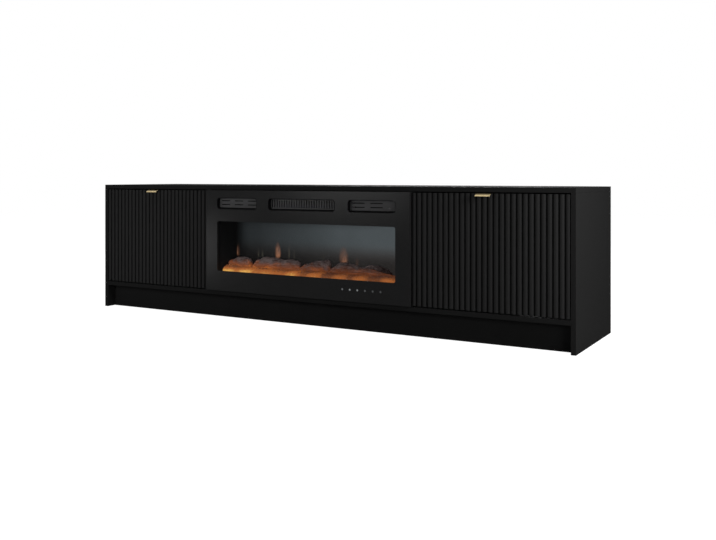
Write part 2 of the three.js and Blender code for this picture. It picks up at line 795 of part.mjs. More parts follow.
function ledBoard() {
  const middle = (bed.front + bedBack) / 2;
  const boardTop = chamberBed + ledStrip.board;
  const board = slab(
    grow([-bedHalf, bedHalf], -ledStrip.endGap),
    [middle - ledStrip.width / 2, middle + ledStrip.width / 2],
    [chamberBed, boardTop],
  );
  const count = Math.floor((2 * (bedHalf - ledStrip.endGap)) / ledStrip.pitch);
  const lamps = Array.from({ length: count }, (_, i) => {
    const x = (i - (count - 1) / 2) * ledStrip.pitch;
    return slab(
      grow([x, x], ledStrip.led / 2),
      grow([middle, middle], ledStrip.led / 2),
      [boardTop - ledStrip.board / 2, boardTop + ledStrip.ledHeight],
    );
  });
  return join(board, ...lamps);
}

// A log: a tapered, knotty turned form that lies on the bed's shelf
function log(shares) {
  const shelfDepth = bedBack - bed.ridgeBack;
  const length = shares.length * bedHalf;
  const radius = shares.radius * shelfDepth;
  const tip = shares.tip * shelfDepth;
  const last = logKnotShares.length - 1;
  const outline = logKnotShares.map((share, i) => {
    const along = i / last;
    return [share * (radius + (tip - radius) * along), (along - 1 / 2) * length];
  });
  const profile = [[0, outline[0][1]], ...outline, [0, outline[last][1]]];
  const mesh = piece(shares.name, turned(profile, 12).applyMatrix4(turnedAlongX), charredWood);
  const droop = Math.asin((radius - tip) / length);
  mesh.rotation.set(0, droop, THREE.MathUtils.degToRad(logYaws[shares.name]));
  mesh.position.set(
    shares.x * bedHalf,
    bed.ridgeBack + shares.y * shelfDepth,
    chamberBed + bed.shelf + clearance + (radius + tip) / 2,
  );
  return mesh;
}

// Spindle: a rod with bright vanes, each turned a step further, that throws moving light on the screen
function flameSpindle() {
  const start = clearance - chamberHalf;
  const end = chamberHalf - clearance - spindleMotor.length - bearing.thickness - clearance;
  const shaft = rod(spindle.rodRadius, end - start, 12).applyMatrix4(turnedAlongX).translate(start, 0, 0);
  const pitch = (2 * spindleHalf) / spindle.vanes;
  const vanes = Array.from({ length: spindle.vanes }, (_, i) => {
    const x = (i - (spindle.vanes - 1) / 2) * pitch;
    return slab(
      grow([x, x], spindle.vaneLength / 2),
      grow([0, 0], spindle.vaneSheet / 2),
      grow([0, 0], spindle.vaneHeight / 2),
    ).rotateX(THREE.MathUtils.degToRad(i * spindle.vaneTurn));
  });
  return join(shaft, ...vanes);
}

function crossFlowWheel() {
  const shaftHalf = housingHalf + clearance;
  const shaft = rod(blower.shaftRadius, 2 * shaftHalf, 12)
    .applyMatrix4(turnedAlongX)
    .translate(-shaftHalf, 0, 0);
  const discs = Array.from({ length: blower.discs }, (_, i) => {
    const x = -wheelHalf + (i * (2 * wheelHalf - blower.disc)) / (blower.discs - 1);
    return rod(wheelRadius, blower.disc).applyMatrix4(turnedAlongX).translate(x, 0, 0);
  });
  const bladeEdge = wheelRadius - blower.disc / 2;
  const blades = Array.from({ length: blower.blades }, (_, i) =>
    slab(
      [-wheelHalf + blower.disc / 2, wheelHalf - blower.disc / 2],
      grow([0, 0], blower.blade / 2),
      [bladeEdge - blower.bladeDepth, bladeEdge],
    ).rotateX((2 * Math.PI * i) / blower.blades),
  );
  return join(shaft, ...discs, ...blades);
}

function blowerHousing() {
  const rise = grow([ventMiddle, ventMiddle], blower.housingHeight / 2);
  const width = [-housingHalf, housingHalf];
  const shellBox = slab(width, housingDepth, rise);
  const hollow = slab(
    grow(width, -fireCase.sheet),
    [housingDepth[0] - overrun, housingDepth[1] - fireCase.sheet],
    grow(rise, -fireCase.sheet),
  );
  const shaftHole = rod(blower.shaftRadius + blower.shaftPlay, 2 * (housingHalf + overrun))
    .applyMatrix4(turnedAlongX)
    .translate(-housingHalf - overrun, wheelY, ventMiddle);
  const legs = [-1, 1].map((sign) =>
    slab(
      across(sign, housingHalf - blower.legWidth, housingHalf),
      housingDepth,
      [chamberCeiling + chamber.sheet + clearance, rise[0] + fireCase.sheet],
    ),
  );
  return cut(join(shellBox, ...legs), hollow, shaftHole);
}

function heatingElement() {
  const rise = grow([ventMiddle, ventMiddle], blower.housingHeight / 2);
  const width = [-housingHalf, housingHalf];
  const depth = [heater.frontShare * fireCase.depth, housingDepth[0] - clearance];
  const frame = cut(
    slab(width, depth, rise),
    slab(grow(width, -heater.frame), grow(depth, overrun), grow(rise, -heater.frame)),
  );
  const pitch = (2 * (housingHalf - heater.frame)) / (heater.fins + 1);
  const finMargin = ((1 - heater.finShare) * (depth[1] - depth[0])) / 2;
  const fins = Array.from({ length: heater.fins }, (_, i) => {
    const x = (i - (heater.fins - 1) / 2) * pitch;
    return slab(
      grow([x, x], heater.fin / 2),
      grow(depth, -finMargin),
      grow(rise, -heater.frame / 2),
    );
  });
  return join(frame, ...fins);
}

function controlBoard() {
  const floor = caseBottom + fireCase.sheet + clearance;
  const boardLow = floor + control.standoff;
  const left = keyX(0) + control.offset;
  const right = left + control.width;
  const board = slab([left, right], [control.front, control.back], [boardLow, boardLow + control.board]);
  const legX = [left + control.standoffInset, right - control.standoffInset];
  const legY = [control.front + control.standoffInset, control.back - control.standoffInset];
  const legs = legX.flatMap((x) =>
    legY.map((y) =>
      rod(control.standoffRadius, control.standoff + control.board / 2, 12)
        .applyMatrix4(alongMinusY)
        .translate(x, y, floor),
    ),
  );
  const top = boardLow + control.board / 2;
  const transformerX = left + 2 * control.standoffInset;
  const transformerY = control.front + 2 * control.standoffInset;
  const transformer = slab(
    [transformerX, transformerX + control.transformer],
    [transformerY, transformerY + control.transformer],
    [top, top + control.transformer],
  );
  const relays = [0, 1, 2].map((i) => {
    const x = right - 2 * control.standoffInset - control.relay;
    const y = transformerY + (i * 3 * control.relay) / 2;
    return slab([x, x + control.relay], [y, y + control.relay], [top, top + control.relay]);
  });
  return join(board, ...legs, transformer, ...relays);
}

function cordGland() {
  const stem = fireCase.sheet + clearance;
  return turned([
    [gland.bore, -stem],
    [gland.radius, -stem],
    [gland.radius, clearance],
    [gland.flangeRadius, clearance],
    [gland.flangeRadius, gland.flange],
    [gland.radius, gland.flange],
    [gland.noseRadius, gland.nose],
    [gland.bore, gland.nose],
    [gland.bore, -stem],
  ]);
}

function electricFire() {
  const group = new THREE.Group();
  group.position.set(0, front, floorTop);
  const paneSpan = grow(windowSpan, glass.overlap);
  const paneRise = grow(windowRise, glass.overlap);
  const screenSpan = grow([-chamberHalf, chamberHalf], -clearance);
  group.add(piece("fire_front_panel", frontPanel(), blackSteel));
  const pane = slab(paneSpan, [glassFront, glassFront + glass.thickness], paneRise);
  group.add(piece("window_glass", pane, clearGlass));
  group.add(...vents());
  group.add(piece("touch_key_strip", touchStrip(), greyPlastic));
  group.add(piece("fire_case", steelCase(), blackSteel));
  group.add(piece("chamber_liner", chamberLiner(), blackSteel));
  group.add(
    piece(
      "chamber_ceiling",
      slab(
        [-caseInner + clearance, caseInner - clearance],
        [clearance, caseRear],
        [chamberCeiling, chamberCeiling + chamber.sheet],
      ),
      blackSteel,
    ),
  );
  group.add(piece("ember_bed", emberBed(), ember));
  group.add(piece("ember_led_strip", ledBoard(), circuitBoard));
  group.add(...logShares.map(log));
  group.add(
    piece(
      "flame_screen",
      slab(screenSpan, [screenFront, screenBack], [chamberBed, chamberCeiling - clearance]),
      frosted,
    ),
  );

  const turningSpindle = piece("flame_spindle", flameSpindle(), mirrorFoil);
  turningSpindle.position.set(0, spindleY, spindleZ);
  group.add(turningSpindle);
  const drive = join(
    rod(spindleMotor.radius, spindleMotor.length),
    rod(spindleMotor.shaftRadius, spindleMotor.length + bearing.thickness, 12)
      .translate(0, -bearing.thickness, 0),
  );
  const spindleDrive = piece("spindle_motor", drive.applyMatrix4(turnedAlongX), steel);
  spindleDrive.position.set(chamberHalf - clearance - spindleMotor.length, spindleY, spindleZ);
  group.add(spindleDrive);

  const wheel = piece("blower_wheel", crossFlowWheel(), mirrorFoil);
  wheel.position.set(0, wheelY, ventMiddle);
  group.add(wheel);
  group.add(piece("blower_housing", blowerHousing(), blackSteel));
  const motorFoot = ventMiddle - chamberCeiling - chamber.sheet - clearance;
  const motorBody = join(
    rod(blowerMotor.radius, blowerMotor.length).applyMatrix4(turnedAlongX),
    slab([0, blowerMotor.length], grow([0, 0], blowerMotor.footWidth / 2), [-motorFoot, 0]),
  );
  const motor = piece("blower_motor", motorBody, steel);
  motor.position.set(housingHalf + 2 * clearance, wheelY, ventMiddle);
  group.add(motor);
  group.add(piece("heating_element", heatingElement(), ceramic));
  group.add(piece("control_board", controlBoard(), circuitBoard));
  const cordEntry = piece("cord_gland", cordGland(), blackPlastic);
  cordEntry.position.set(glandX, fireCase.depth, caseBottom + gland.rise);
  group.add(cordEntry);
  return group;
}

const stand = new THREE.Group();
stand.add(carcass());
stand.add(...sides.map(doorSet));
stand.add(electricFire());

export default stand;
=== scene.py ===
"""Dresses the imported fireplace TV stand: boards, fluted doors, gold edge pulls, and an electric fire.

Lengths are in metres, or in millimetres where a class says so. Every piece stands in the frame of the
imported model: X to the right, Y to the back, Z up.
"""

from __future__ import annotations

import json
import logging
import math
from dataclasses import dataclass
from enum import Enum
from typing import Any, Callable, Iterable, Sequence

import bmesh
import bpy
from mathutils import Matrix, Vector, noise

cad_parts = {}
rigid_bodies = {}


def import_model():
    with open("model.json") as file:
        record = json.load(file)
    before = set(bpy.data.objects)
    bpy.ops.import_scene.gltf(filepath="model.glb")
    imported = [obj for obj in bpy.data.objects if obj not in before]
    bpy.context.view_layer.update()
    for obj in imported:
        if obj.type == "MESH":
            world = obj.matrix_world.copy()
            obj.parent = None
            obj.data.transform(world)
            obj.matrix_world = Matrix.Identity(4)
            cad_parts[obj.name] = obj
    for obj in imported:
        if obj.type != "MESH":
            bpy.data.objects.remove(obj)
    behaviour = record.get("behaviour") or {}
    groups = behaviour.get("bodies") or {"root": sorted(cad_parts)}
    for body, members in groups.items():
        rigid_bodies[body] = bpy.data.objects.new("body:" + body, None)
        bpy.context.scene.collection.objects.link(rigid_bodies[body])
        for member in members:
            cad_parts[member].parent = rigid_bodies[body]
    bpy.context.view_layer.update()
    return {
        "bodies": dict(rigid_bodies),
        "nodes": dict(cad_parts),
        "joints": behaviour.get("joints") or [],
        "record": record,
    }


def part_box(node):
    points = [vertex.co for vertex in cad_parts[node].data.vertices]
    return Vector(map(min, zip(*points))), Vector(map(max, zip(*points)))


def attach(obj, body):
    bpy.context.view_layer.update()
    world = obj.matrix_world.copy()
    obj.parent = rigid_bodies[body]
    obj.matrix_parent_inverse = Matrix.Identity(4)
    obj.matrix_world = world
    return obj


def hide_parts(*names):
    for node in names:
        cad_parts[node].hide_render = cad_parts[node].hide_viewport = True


LOG = logging.getLogger("fireplace_stand")

Colour = tuple[float, float, float]
Point2 = tuple[float, float]
Point3 = tuple[float, float, float]

MM = 0.001
WELD = 1e-6
BLACK = (0.0, 0.0, 0.0)
WHITE = (1.0, 1.0, 1.0)


class Body(Enum):
    """The bodies of the stand that move against each other."""

    ROOT = "root"
    LEFT_DOOR = "left_door"
    RIGHT_DOOR = "right_door"
    SPINDLE = "flame_spindle"
    WHEEL = "blower_wheel"


class Slot(Enum):
    """The material slots of the stand."""

    BOARD = "black_board"
    FLUTED = "fluted_black_lacquer"
    GOLD = "brushed_gold"
    NYLON = "black_nylon"
    BRIGHT_STEEL = "bright_steel"
    PLASTIC = "black_plastic"
    INFRARED = "infrared_plastic"
    GREY_PLASTIC = "grey_plastic"
    PANEL = "satin_black_panel"
    BLACK_STEEL = "black_steel"
    GLASS = "clear_glass"
    SCREEN = "smoked_screen"
    EMBER = "ember_resin"
    LOG_RESIN = "log_resin"
    ALUMINIUM = "bright_aluminium"
    CIRCUIT = "circuit_board"
    CERAMIC = "ceramic"


class Side(Enum):
    """The two ends of the stand, as the nodes spell them."""

    LEFT = "left"
    RIGHT = "right"

    @property
    def door_body(self) -> Body:
        """The body of this side's door."""
        return Body(self.value + "_door")


class Ends(Enum):
    """How the first and the last ring of a skin are closed."""

    OPEN = "open"
    FLAT = "flat"
    FAN = "fan"


# Node trees


def maths(operation: str, swapped: bool = False) -> Callable[[Wire, Wire | float], Wire]:
    """Makes an operator of wires that adds one Math node.

    Args:
        operation: the node's operation.
        swapped: whether the other operand comes first.

    Returns:
        The operator.
    """

    def operator(wire: Wire, other: Wire | float) -> Wire:
        """Adds the node behind the wire."""
        first, second = (other, wire) if swapped else (wire, other)
        return wire.wiring.node("ShaderNodeMath", {0: first, 1: second}, operation=operation)

    return operator


class Wire:
    """One output socket of a tree. The usual operators add Math nodes behind it."""

    __add__ = __radd__ = maths("ADD")
    __sub__ = maths("SUBTRACT")
    __rsub__ = maths("SUBTRACT", swapped=True)
    __mul__ = __rmul__ = maths("MULTIPLY")
    __truediv__ = maths("DIVIDE")
    __pow__ = maths("POWER")
    __or__ = maths("MAXIMUM")
    __and__ = maths("MINIMUM")

    def __init__(self, wiring: Wiring, socket: bpy.types.NodeSocket) -> None:
        """Keeps the tree's builder and the output socket that the wire starts from."""
        self.wiring = wiring
        self.socket = socket

    def smooth(self, low: float, high: float, start: float = 0.0, end: float = 1.0) -> Wire:
        """Goes smoothly from start to end as this wire goes from low to high.

        Args:
            low: value at which the result is start.
            high: value at which the result is end.
            start: result at low and beyond it.
            end: result at high and beyond it.

        Returns:
            The smoothed value.
        """
        values = {"Value": self, "From Min": low, "From Max": high, "To Min": start, "To Max": end}
        return self.wiring.node("ShaderNodeMapRange", values, interpolation_type="SMOOTHSTEP")


def pick(sockets: Any, key: int | str) -> bpy.types.NodeSocket:
    """Finds a socket by its place, its shown name or its identifier.

    Args:
        sockets: a node's inputs or outputs.
        key: place, name or identifier.

    Returns:
        The socket.
    """
    if isinstance(key, int):
        return sockets[key]
    named = [socket for socket in sockets if socket.name == key and socket.enabled]
    found = named or [socket for socket in sockets if socket.identifier == key]
    if not found:
        raise KeyError(f"no socket {key!r} among {[socket.name for socket in sockets]}")
    return found[0]


class Wiring:
    """Adds nodes to one tree, of materials and of Geometry Nodes alike."""

    def __init__(self, tree: bpy.types.NodeTree) -> None:
        """Keeps the tree that the nodes go into."""
        self.tree = tree

    def join(self, socket: bpy.types.NodeSocket, value: Any) -> None:
        """Links a wire to an input socket, or sets the socket to a value.

        Args:
            socket: input socket.
            value: a wire, a list of wires for a socket that takes many, or a plain value.
        """
        if isinstance(value, (Wire, list)):
            for wire in value if isinstance(value, list) else [value]:
                self.tree.links.new(wire.socket, socket)
        elif isinstance(value, tuple) and len(value) == 3 and len(socket.default_value) == 4:
            socket.default_value = (*value, 1.0)
        else:
            socket.default_value = value

    def node(
        self, kind: str, values: dict[int | str, Any] | None = None, output: int | str = 0, **settings: Any
    ) -> Wire:
        """Adds one node.

        Args:
            kind: the node's type.
            values: its sockets' values or wires.
            output: output that the wire starts from.
            settings: its properties, set before its sockets.

        Returns:
            A wire from the output.
        """
        made = self.tree.nodes.new(kind)
        for name, value in settings.items():
            setattr(made, name, value)
        for key, value in (values or {}).items():
            self.join(pick(made.inputs, key), value)
        return Wire(self, pick(made.outputs, output))

    def vector(self, x: Wire | float, y: Wire | float, z: Wire | float) -> Wire:
        """Puts three numbers together as a vector."""
        return self.node("ShaderNodeCombineXYZ", {"X": x, "Y": y, "Z": z})

    def axes(self, vector: Wire) -> list[Wire]:
        """Splits a vector into its X, Y and Z."""
        parts = self.node("ShaderNodeSeparateXYZ", {"Vector": vector}).socket.node.outputs
        return [Wire(self, part) for part in parts]


class Paint(Wiring):
    """Builds one material around its main shader."""

    SOCKETS = {
        "colour": "Base Color",
        "metallic": "Metallic",
        "roughness": "Roughness",
        "specular": "Specular IOR Level",
        "alpha": "Alpha",
        "glow": "Emission Color",
        "power": "Emission Strength",
        "normal": "Normal",
    }
    PLAIN = (1, 1, 1)

    def __init__(self, name: str, shown: Colour) -> None:
        """Starts the material.

        Args:
            name: the material's name.
            shown: colour in the viewport.
        """
        self.material = bpy.data.materials.new(name)
        self.material.use_nodes = True
        self.material.diffuse_color = (*shown, 1.0)
        super().__init__(self.material.node_tree)
        self.shader = next(n for n in self.tree.nodes if n.type == "BSDF_PRINCIPLED")
        self.place = self.node("ShaderNodeTexCoord", {}, "Object")

    def put(self, **looks: Any) -> None:
        """Sets or links sockets of the main shader. A glow has power 1 by itself.

        Args:
            looks: values and wires by the words in SOCKETS.
        """
        if "glow" in looks:
            looks.setdefault("power", 1.0)
        for word, value in looks.items():
            self.join(self.shader.inputs[self.SOCKETS[word]], value)

    def grain(
        self, scale: float, detail: float = 2.0, stretch: Point3 = PLAIN, roughness: float = 0.5
    ) -> Wire:
        """A noise over the piece.

        Args:
            scale: waves in a metre.
            detail: octaves on top of the first.
            stretch: how much tighter the noise is along each axis.
            roughness: weight of the finer octaves.

        Returns:
            The noise, from 0 to 1.
        """
        where = self.place
        if stretch != self.PLAIN:
            where = self.node("ShaderNodeMapping", {"Vector": self.place, "Scale": stretch})
        values = {"Vector": where, "Scale": scale, "Detail": detail, "Roughness": roughness}
        return self.node("ShaderNodeTexNoise", values)

    def cells(self, scale: float, **settings: str) -> Wire:
        """The distances in a cell pattern over the piece."""
        values = {"Vector": self.place, "Scale": scale}
        return self.node("ShaderNodeTexVoronoi", values, "Distance", **settings)

    def mix(self, factor: Wire | float, low: Wire | Colour, high: Wire | Colour) -> Wire:
        """Mixes two colours: low at factor 0, high at factor 1."""
        return self.node("ShaderNodeMix", {"Factor": factor, "A": low, "B": high}, "Result", data_type="RGBA")

    def tint(self, colour: Colour, factor: Wire, share: float) -> Wire:
        """Varies a colour by a share of itself either way, over a factor from 0 to 1."""
        low, high = (tuple(c * k for c in colour) for k in (1 - share, 1 + share))
        return self.mix(factor, low, high)

    def bump(self, height: Wire, strength: float, distance: float, below: Wire | None = None) -> Wire:
        """A bumped normal from a height.

        Args:
            height: height over the surface.
            strength: strength of the bump.
            distance: depth of the bump in metres.
            below: normal that this bump adds to.

        Returns:
            The normal.
        """
        values: dict[int | str, Any] = {"Height": height, "Strength": strength, "Distance": distance}
        if below is not None:
            values["Normal"] = below
        return self.node("ShaderNodeBump", values)


class Graph(Wiring):
    """Builds one Geometry Nodes tree with named inputs, and bakes it on a piece."""

    def __init__(self, name: str, **inputs: Sequence[str]) -> None:
        """Starts the tree.

        Args:
            name: the tree's name.
            inputs: the names of its inputs, by their kind, such as Float.
        """
        super().__init__(bpy.data.node_groups.new(name, "GeometryNodeTree"))
        face = self.tree.interface
        for way in ("INPUT", "OUTPUT"):
            face.new_socket(name="Geometry", in_out=way, socket_type="NodeSocketGeometry")
        self.keys: dict[str, str] = {}
        for kind, labels in {**inputs, "Material": ("Material",)}.items():
            for label in labels:
                made = face.new_socket(name=label, in_out="INPUT", socket_type="NodeSocket" + kind)
                self.keys[label] = made.identifier
        self.entry = self.tree.nodes.new("NodeGroupInput")
        self.exit = self.tree.nodes.new("NodeGroupOutput")

    def __getitem__(self, label: str) -> Wire:
        """The named input."""
        return Wire(self, pick(self.entry.outputs, label))

    def line(self, count: Wire, step: Wire, **more: Wire) -> Wire:
        """Points in a line, a step apart."""
        return self.node("GeometryNodeMeshLine", {"Count": count, "Offset": step, **more}, mode="OFFSET")

    def spread(self, points: Wire, piece: Wire, **more: Wire) -> Wire:
        """A copy of a piece on every point."""
        return self.node("GeometryNodeInstanceOnPoints", {"Points": points, "Instance": piece, **more})

    def lattice(self) -> Wire:
        """Points in rows and columns, from the inputs for their counts, steps and start.

        Returns:
            The points.
        """
        columns = self.line(self["Columns"], self["Column Step"], **{"Start Location": self["Start"]})
        spread = self.spread(columns, self.line(self["Rows"], self["Row Step"]))
        return self.node("GeometryNodeRealizeInstances", {"Geometry": spread})

    def chance(self, low: Any, high: Any, seed: Wire, kind: str = "FLOAT") -> Wire:
        """A value drawn at random for every point."""
        values = {"Min": low, "Max": high, "Seed": seed}
        return self.node("FunctionNodeRandomValue", values, "Value", data_type=kind)

    def moved(self, geometry: Wire, x: Wire | float, y: Wire | float, z: Wire | float, **more: Any) -> Wire:
        """A geometry in another place."""
        values = {"Geometry": geometry, "Translation": self.vector(x, y, z), **more}
        return self.node("GeometryNodeTransform", values)

    def rectangle(self, width: Wire, height: Wire) -> Wire:
        """The outline of a rectangle about the origin."""
        return self.node("GeometryNodeCurvePrimitiveQuadrilateral", {"Width": width, "Height": height})

    def rounded(self, curve: Wire, count: int, radius: Wire) -> Wire:
        """A curve with rounded corners."""
        values = {"Curve": curve, "Count": count, "Radius": radius, "Limit Radius": True}
        return self.node("GeometryNodeFilletCurve", values, mode="POLY")

    def drawn_out(self, face: Wire, along: Wire, foot: Wire) -> Wire:
        """A face drawn out along a vector, and closed by a foot where it started.

        Args:
            face: the face.
            along: where it is drawn to.
            foot: what closes the start.

        Returns:
            The closed mesh.
        """
        values = {"Mesh": face, "Offset": along, "Offset Scale": 1.0, "Individual": False}
        walls = self.node("GeometryNodeExtrudeMesh", values, mode="FACES")
        closed = self.node("GeometryNodeJoinGeometry", {"Geometry": [walls, foot]})
        return self.node("GeometryNodeMergeByDistance", {"Geometry": closed, "Distance": WELD})

    def cut(self, *cutters: Wire) -> Wire:
        """The piece that the tree starts from, less the cutters."""
        values = {"Mesh 1": self["Geometry"], "Mesh 2": list(cutters)}
        return self.node("GeometryNodeMeshBoolean", values, operation="DIFFERENCE", solver="EXACT")

    def end(self, *parts: Wire) -> None:
        """Joins the parts, realizes their instances and sets their material.

        Args:
            parts: what the tree gives.
        """
        joined = self.node("GeometryNodeJoinGeometry", {"Geometry": list(parts)})
        real = self.node("GeometryNodeRealizeInstances", {"Geometry": joined})
        painted = self.node("GeometryNodeSetMaterial", {"Geometry": real, "Material": self["Material"]})
        self.tree.links.new(painted.socket, self.exit.inputs[0])

    def bake(self, piece: bpy.types.Object, values: dict[str, Any]) -> bpy.types.Object:
        """Runs the tree on a piece and keeps the plain result.

        Args:
            piece: piece that the tree starts from.
            values: value of each named input.

        Returns:
            The same piece with its new mesh.
        """
        modifier = piece.modifiers.new(self.tree.name, "NODES")
        modifier.node_group = self.tree
        for label, value in values.items():
            modifier[self.keys[label]] = value
        return baked(piece)


# Meshes


def stood(name: str, mesh: bpy.types.Mesh) -> bpy.types.Object:
    """Puts a mesh in the scene as a piece at the origin.

    Args:
        name: the piece's name.
        mesh: its mesh, already in place.

    Returns:
        The piece.
    """
    mesh.name = name
    piece = bpy.data.objects.new(name, mesh)
    bpy.context.scene.collection.objects.link(piece)
    return piece


def welded(mesh: bpy.types.Mesh) -> bmesh.types.BMesh:
    """A mesh opened for work, with its doubles welded.

    Args:
        mesh: the mesh.

    Returns:
        The bmesh.
    """
    work = bmesh.new()
    work.from_mesh(mesh)
    bmesh.ops.remove_doubles(work, verts=work.verts, dist=WELD)
    return work


def written(work: bmesh.types.BMesh, mesh: bpy.types.Mesh) -> bpy.types.Mesh:
    """Turns every shell's faces outwards and writes the work into a mesh.

    Args:
        work: the bmesh, which is freed.
        mesh: mesh that is written.

    Returns:
        The mesh.
    """
    bmesh.ops.recalc_face_normals(work, faces=work.faces)
    work.to_mesh(mesh)
    work.free()
    return mesh


def from_bmesh(name: str, work: bmesh.types.BMesh) -> bpy.types.Object:
    """Makes a piece of a bmesh."""
    return stood(name, written(work, bpy.data.meshes.new(name)))


def baked(piece: bpy.types.Object) -> bpy.types.Object:
    """Turns a piece's modifiers into a plain mesh and removes them.

    Args:
        piece: the piece.

    Returns:
        The same piece.
    """
    depsgraph = bpy.context.evaluated_depsgraph_get()
    depsgraph.update()
    mesh = bpy.data.meshes.new_from_object(piece.evaluated_get(depsgraph), depsgraph=depsgraph)
    old = piece.data
    piece.modifiers.clear()
    piece.data = mesh
    bpy.data.meshes.remove(old)
    mesh.name = piece.name
    return piece


def smoothed(piece: bpy.types.Object, degrees: float = 35.0) -> bpy.types.Object:
    """Shades a piece smooth, but for edges sharper than the angle, and keeps its broad faces flat.

    Args:
        piece: the piece.
        degrees: the angle.

    Returns:
        The same piece.
    """
    piece.data.shade_smooth()
    piece.data.set_sharp_from_angle(angle=math.radians(degrees))
    weights = piece.modifiers.new("weights", "WEIGHTED_NORMAL")
    weights.keep_sharp = True
    weights.weight = 100
    return baked(piece)


def eased(
    piece: bpy.types.Object, width: float, segments: int = 2, degrees: float = 30.0
) -> bpy.types.Object:
    """Rounds the sharp edges of a piece.

    Args:
        piece: the piece.
        width: width of the rounding.
        segments: faces across it.
        degrees: edges sharper than this are rounded.

    Returns:
        The same piece.
    """
    bevel = piece.modifiers.new("eased", "BEVEL")
    bevel.width = width
    bevel.segments = segments
    bevel.limit_method = "ANGLE"
    bevel.angle_limit = math.radians(degrees)
    bevel.miter_outer = "MITER_ARC"
    return smoothed(baked(piece))


def outward(piece: bpy.types.Object) -> bpy.types.Object:
    """Welds doubles and turns every closed shell's faces outwards."""
    written(welded(piece.data), piece.data)
    return piece


def lofted(name: str, rings: Sequence[Sequence[Vector]], ends: Ends = Ends.FAN) -> bpy.types.Object:
    """Skins closed rings of equal length.

    Args:
        name: the piece's name.
        rings: the rings in order.
        ends: how the first and last ring are closed.

    Returns:
        The piece.
    """
    work = bmesh.new()
    made = [[work.verts.new(point) for point in ring] for ring in rings]
    count = len(made[0])
    for low, high in zip(made, made[1:]):
        for i in range(count):
            j = (i + 1) % count
            work.faces.new((low[i], low[j], high[j], high[i]))
    if ends is Ends.FLAT:
        work.faces.new(made[0])
        work.faces.new(reversed(made[-1]))
    elif ends is Ends.FAN:
        for ring in (made[0], made[-1]):
            middle = work.verts.new(sum((v.co for v in ring), Vector()) / count)
            for i in range(count):
                work.faces.new((ring[i], ring[(i + 1) % count], middle))
    return from_bmesh(name, work)


def prism(name: str, outline: Sequence[Point2], x_span: Point2) -> bpy.types.Object:
    """A piece with one outline in Y and Z, drawn out along X."""
    return lofted(name, [[Vector((x, y, z)) for y, z in outline] for x in x_span], Ends.FLAT)


def rounded_path(corners: Sequence[Point2], radius: float, steps: int) -> list[Point2]:
    """Rounds the inner corners of a path.

    Args:
        corners: the path's corners.
        radius: radius of each bend.
        steps: points on each bend, less one.

    Returns:
        The path with arcs in place of its corners.
    """
    path: list[Point2] = [corners[0]]
    for before, corner, after in zip(corners, corners[1:], corners[2:]):
        here = Vector(corner)
        to_before = (Vector(before) - here).normalized()
        to_after = (Vector(after) - here).normalized()
        reach = radius / math.tan(to_before.angle(to_after) / 2)
        start, end = here + to_before * reach, here + to_after * reach
        for i in range(steps + 1):
            share = i / steps
            bend = start * (1 - share) ** 2 + here * 2 * share * (1 - share) + end * share**2
            path.append((bend.x, bend.y))
    path.append(corners[-1])
    return path


def ribbon(path: Sequence[Point2], thickness: float) -> list[Point2]:
    """The outline of a strip of sheet whose middle follows a path.

    Args:
        path: points along the strip's middle.
        thickness: the sheet's thickness.

    Returns:
        The strip's closed outline.
    """
    left: list[Point2] = []
    right: list[Point2] = []
    for i, point in enumerate(path):
        before, after = path[max(i - 1, 0)], path[min(i + 1, len(path) - 1)]
        along = (Vector(after) - Vector(before)).normalized()
        side = Vector((-along.y, along.x)) * (thickness / 2)
        left.append((point[0] + side.x, point[1] + side.y))
        right.append((point[0] - side.x, point[1] - side.y))
    return left + right[::-1]


def rounded_corners(x_span: Point2, z_span: Point2, radius: float, steps: int = 8) -> list[Point2]:
    """The outline of a rectangle with rounded corners.

    Args:
        x_span: its lowest and highest X.
        z_span: its lowest and highest Z.
        radius: radius of the corners.
        steps: points on each corner, less one.

    Returns:
        The outline.
    """
    outline: list[Point2] = []
    for side, level, quarter in ((1, 0, 3), (1, 1, 0), (0, 1, 1), (0, 0, 2)):
        x = x_span[side] + (-radius if side else radius)
        z = z_span[level] + (-radius if level else radius)
        for i in range(steps + 1):
            angle = (quarter + i / steps) * math.pi / 2
            outline.append((x + radius * math.cos(angle), z + radius * math.sin(angle)))
    return outline


def share_along(profile: Sequence[Point2], at: float) -> float:
    """Reads a value off a profile of (place, value) pairs, with smooth steps between them.

    Args:
        profile: the pairs, by place.
        at: where it is read.

    Returns:
        The value.
    """
    for (x0, y0), (x1, y1) in zip(profile, profile[1:]):
        if at <= x1:
            t = (at - x0) / (x1 - x0)
            t = t * t * (3 - 2 * t)
            return y0 + (y1 - y0) * t
    return profile[-1][1]


# Finishes


@dataclass(frozen=True)
class Finish:
    """What every finish has: its slot, its colour and its gloss."""

    slot: Slot
    colour: Colour
    roughness: float
    specular: float = 0.5

    def made(self) -> bpy.types.Material:
        """Builds the material.

        Returns:
            The material.
        """
        paint = Paint(self.slot.value, self.colour)
        paint.put(specular=self.specular)
        self.coat(paint)
        return paint.material

    def coat(self, paint: Paint) -> None:
        """Paints what is special to this finish.

        Args:
            paint: the material.
        """
        raise NotImplementedError


@dataclass(frozen=True)
class Melamine(Finish):
    """Melamine-faced chipboard: a fine pearl texture and faint cloudiness."""

    pearl: float = 1100.0
    cloud: float = 2.3
    depth: float = 0.00006

    def coat(self, paint: Paint) -> None:
        """Adds the pearl texture and the cloudiness.

        Args:
            paint: the material.
        """
        pearl = paint.grain(self.pearl, 3.0)
        cloud = paint.grain(self.cloud, 3.0)
        paint.put(
            colour=paint.tint(self.colour, cloud * 0.7 + pearl * 0.3, 0.22),
            roughness=self.roughness + (cloud - 0.5) * 0.12 + (pearl - 0.5) * 0.1,
            normal=paint.bump(pearl, 0.35, self.depth),
        )


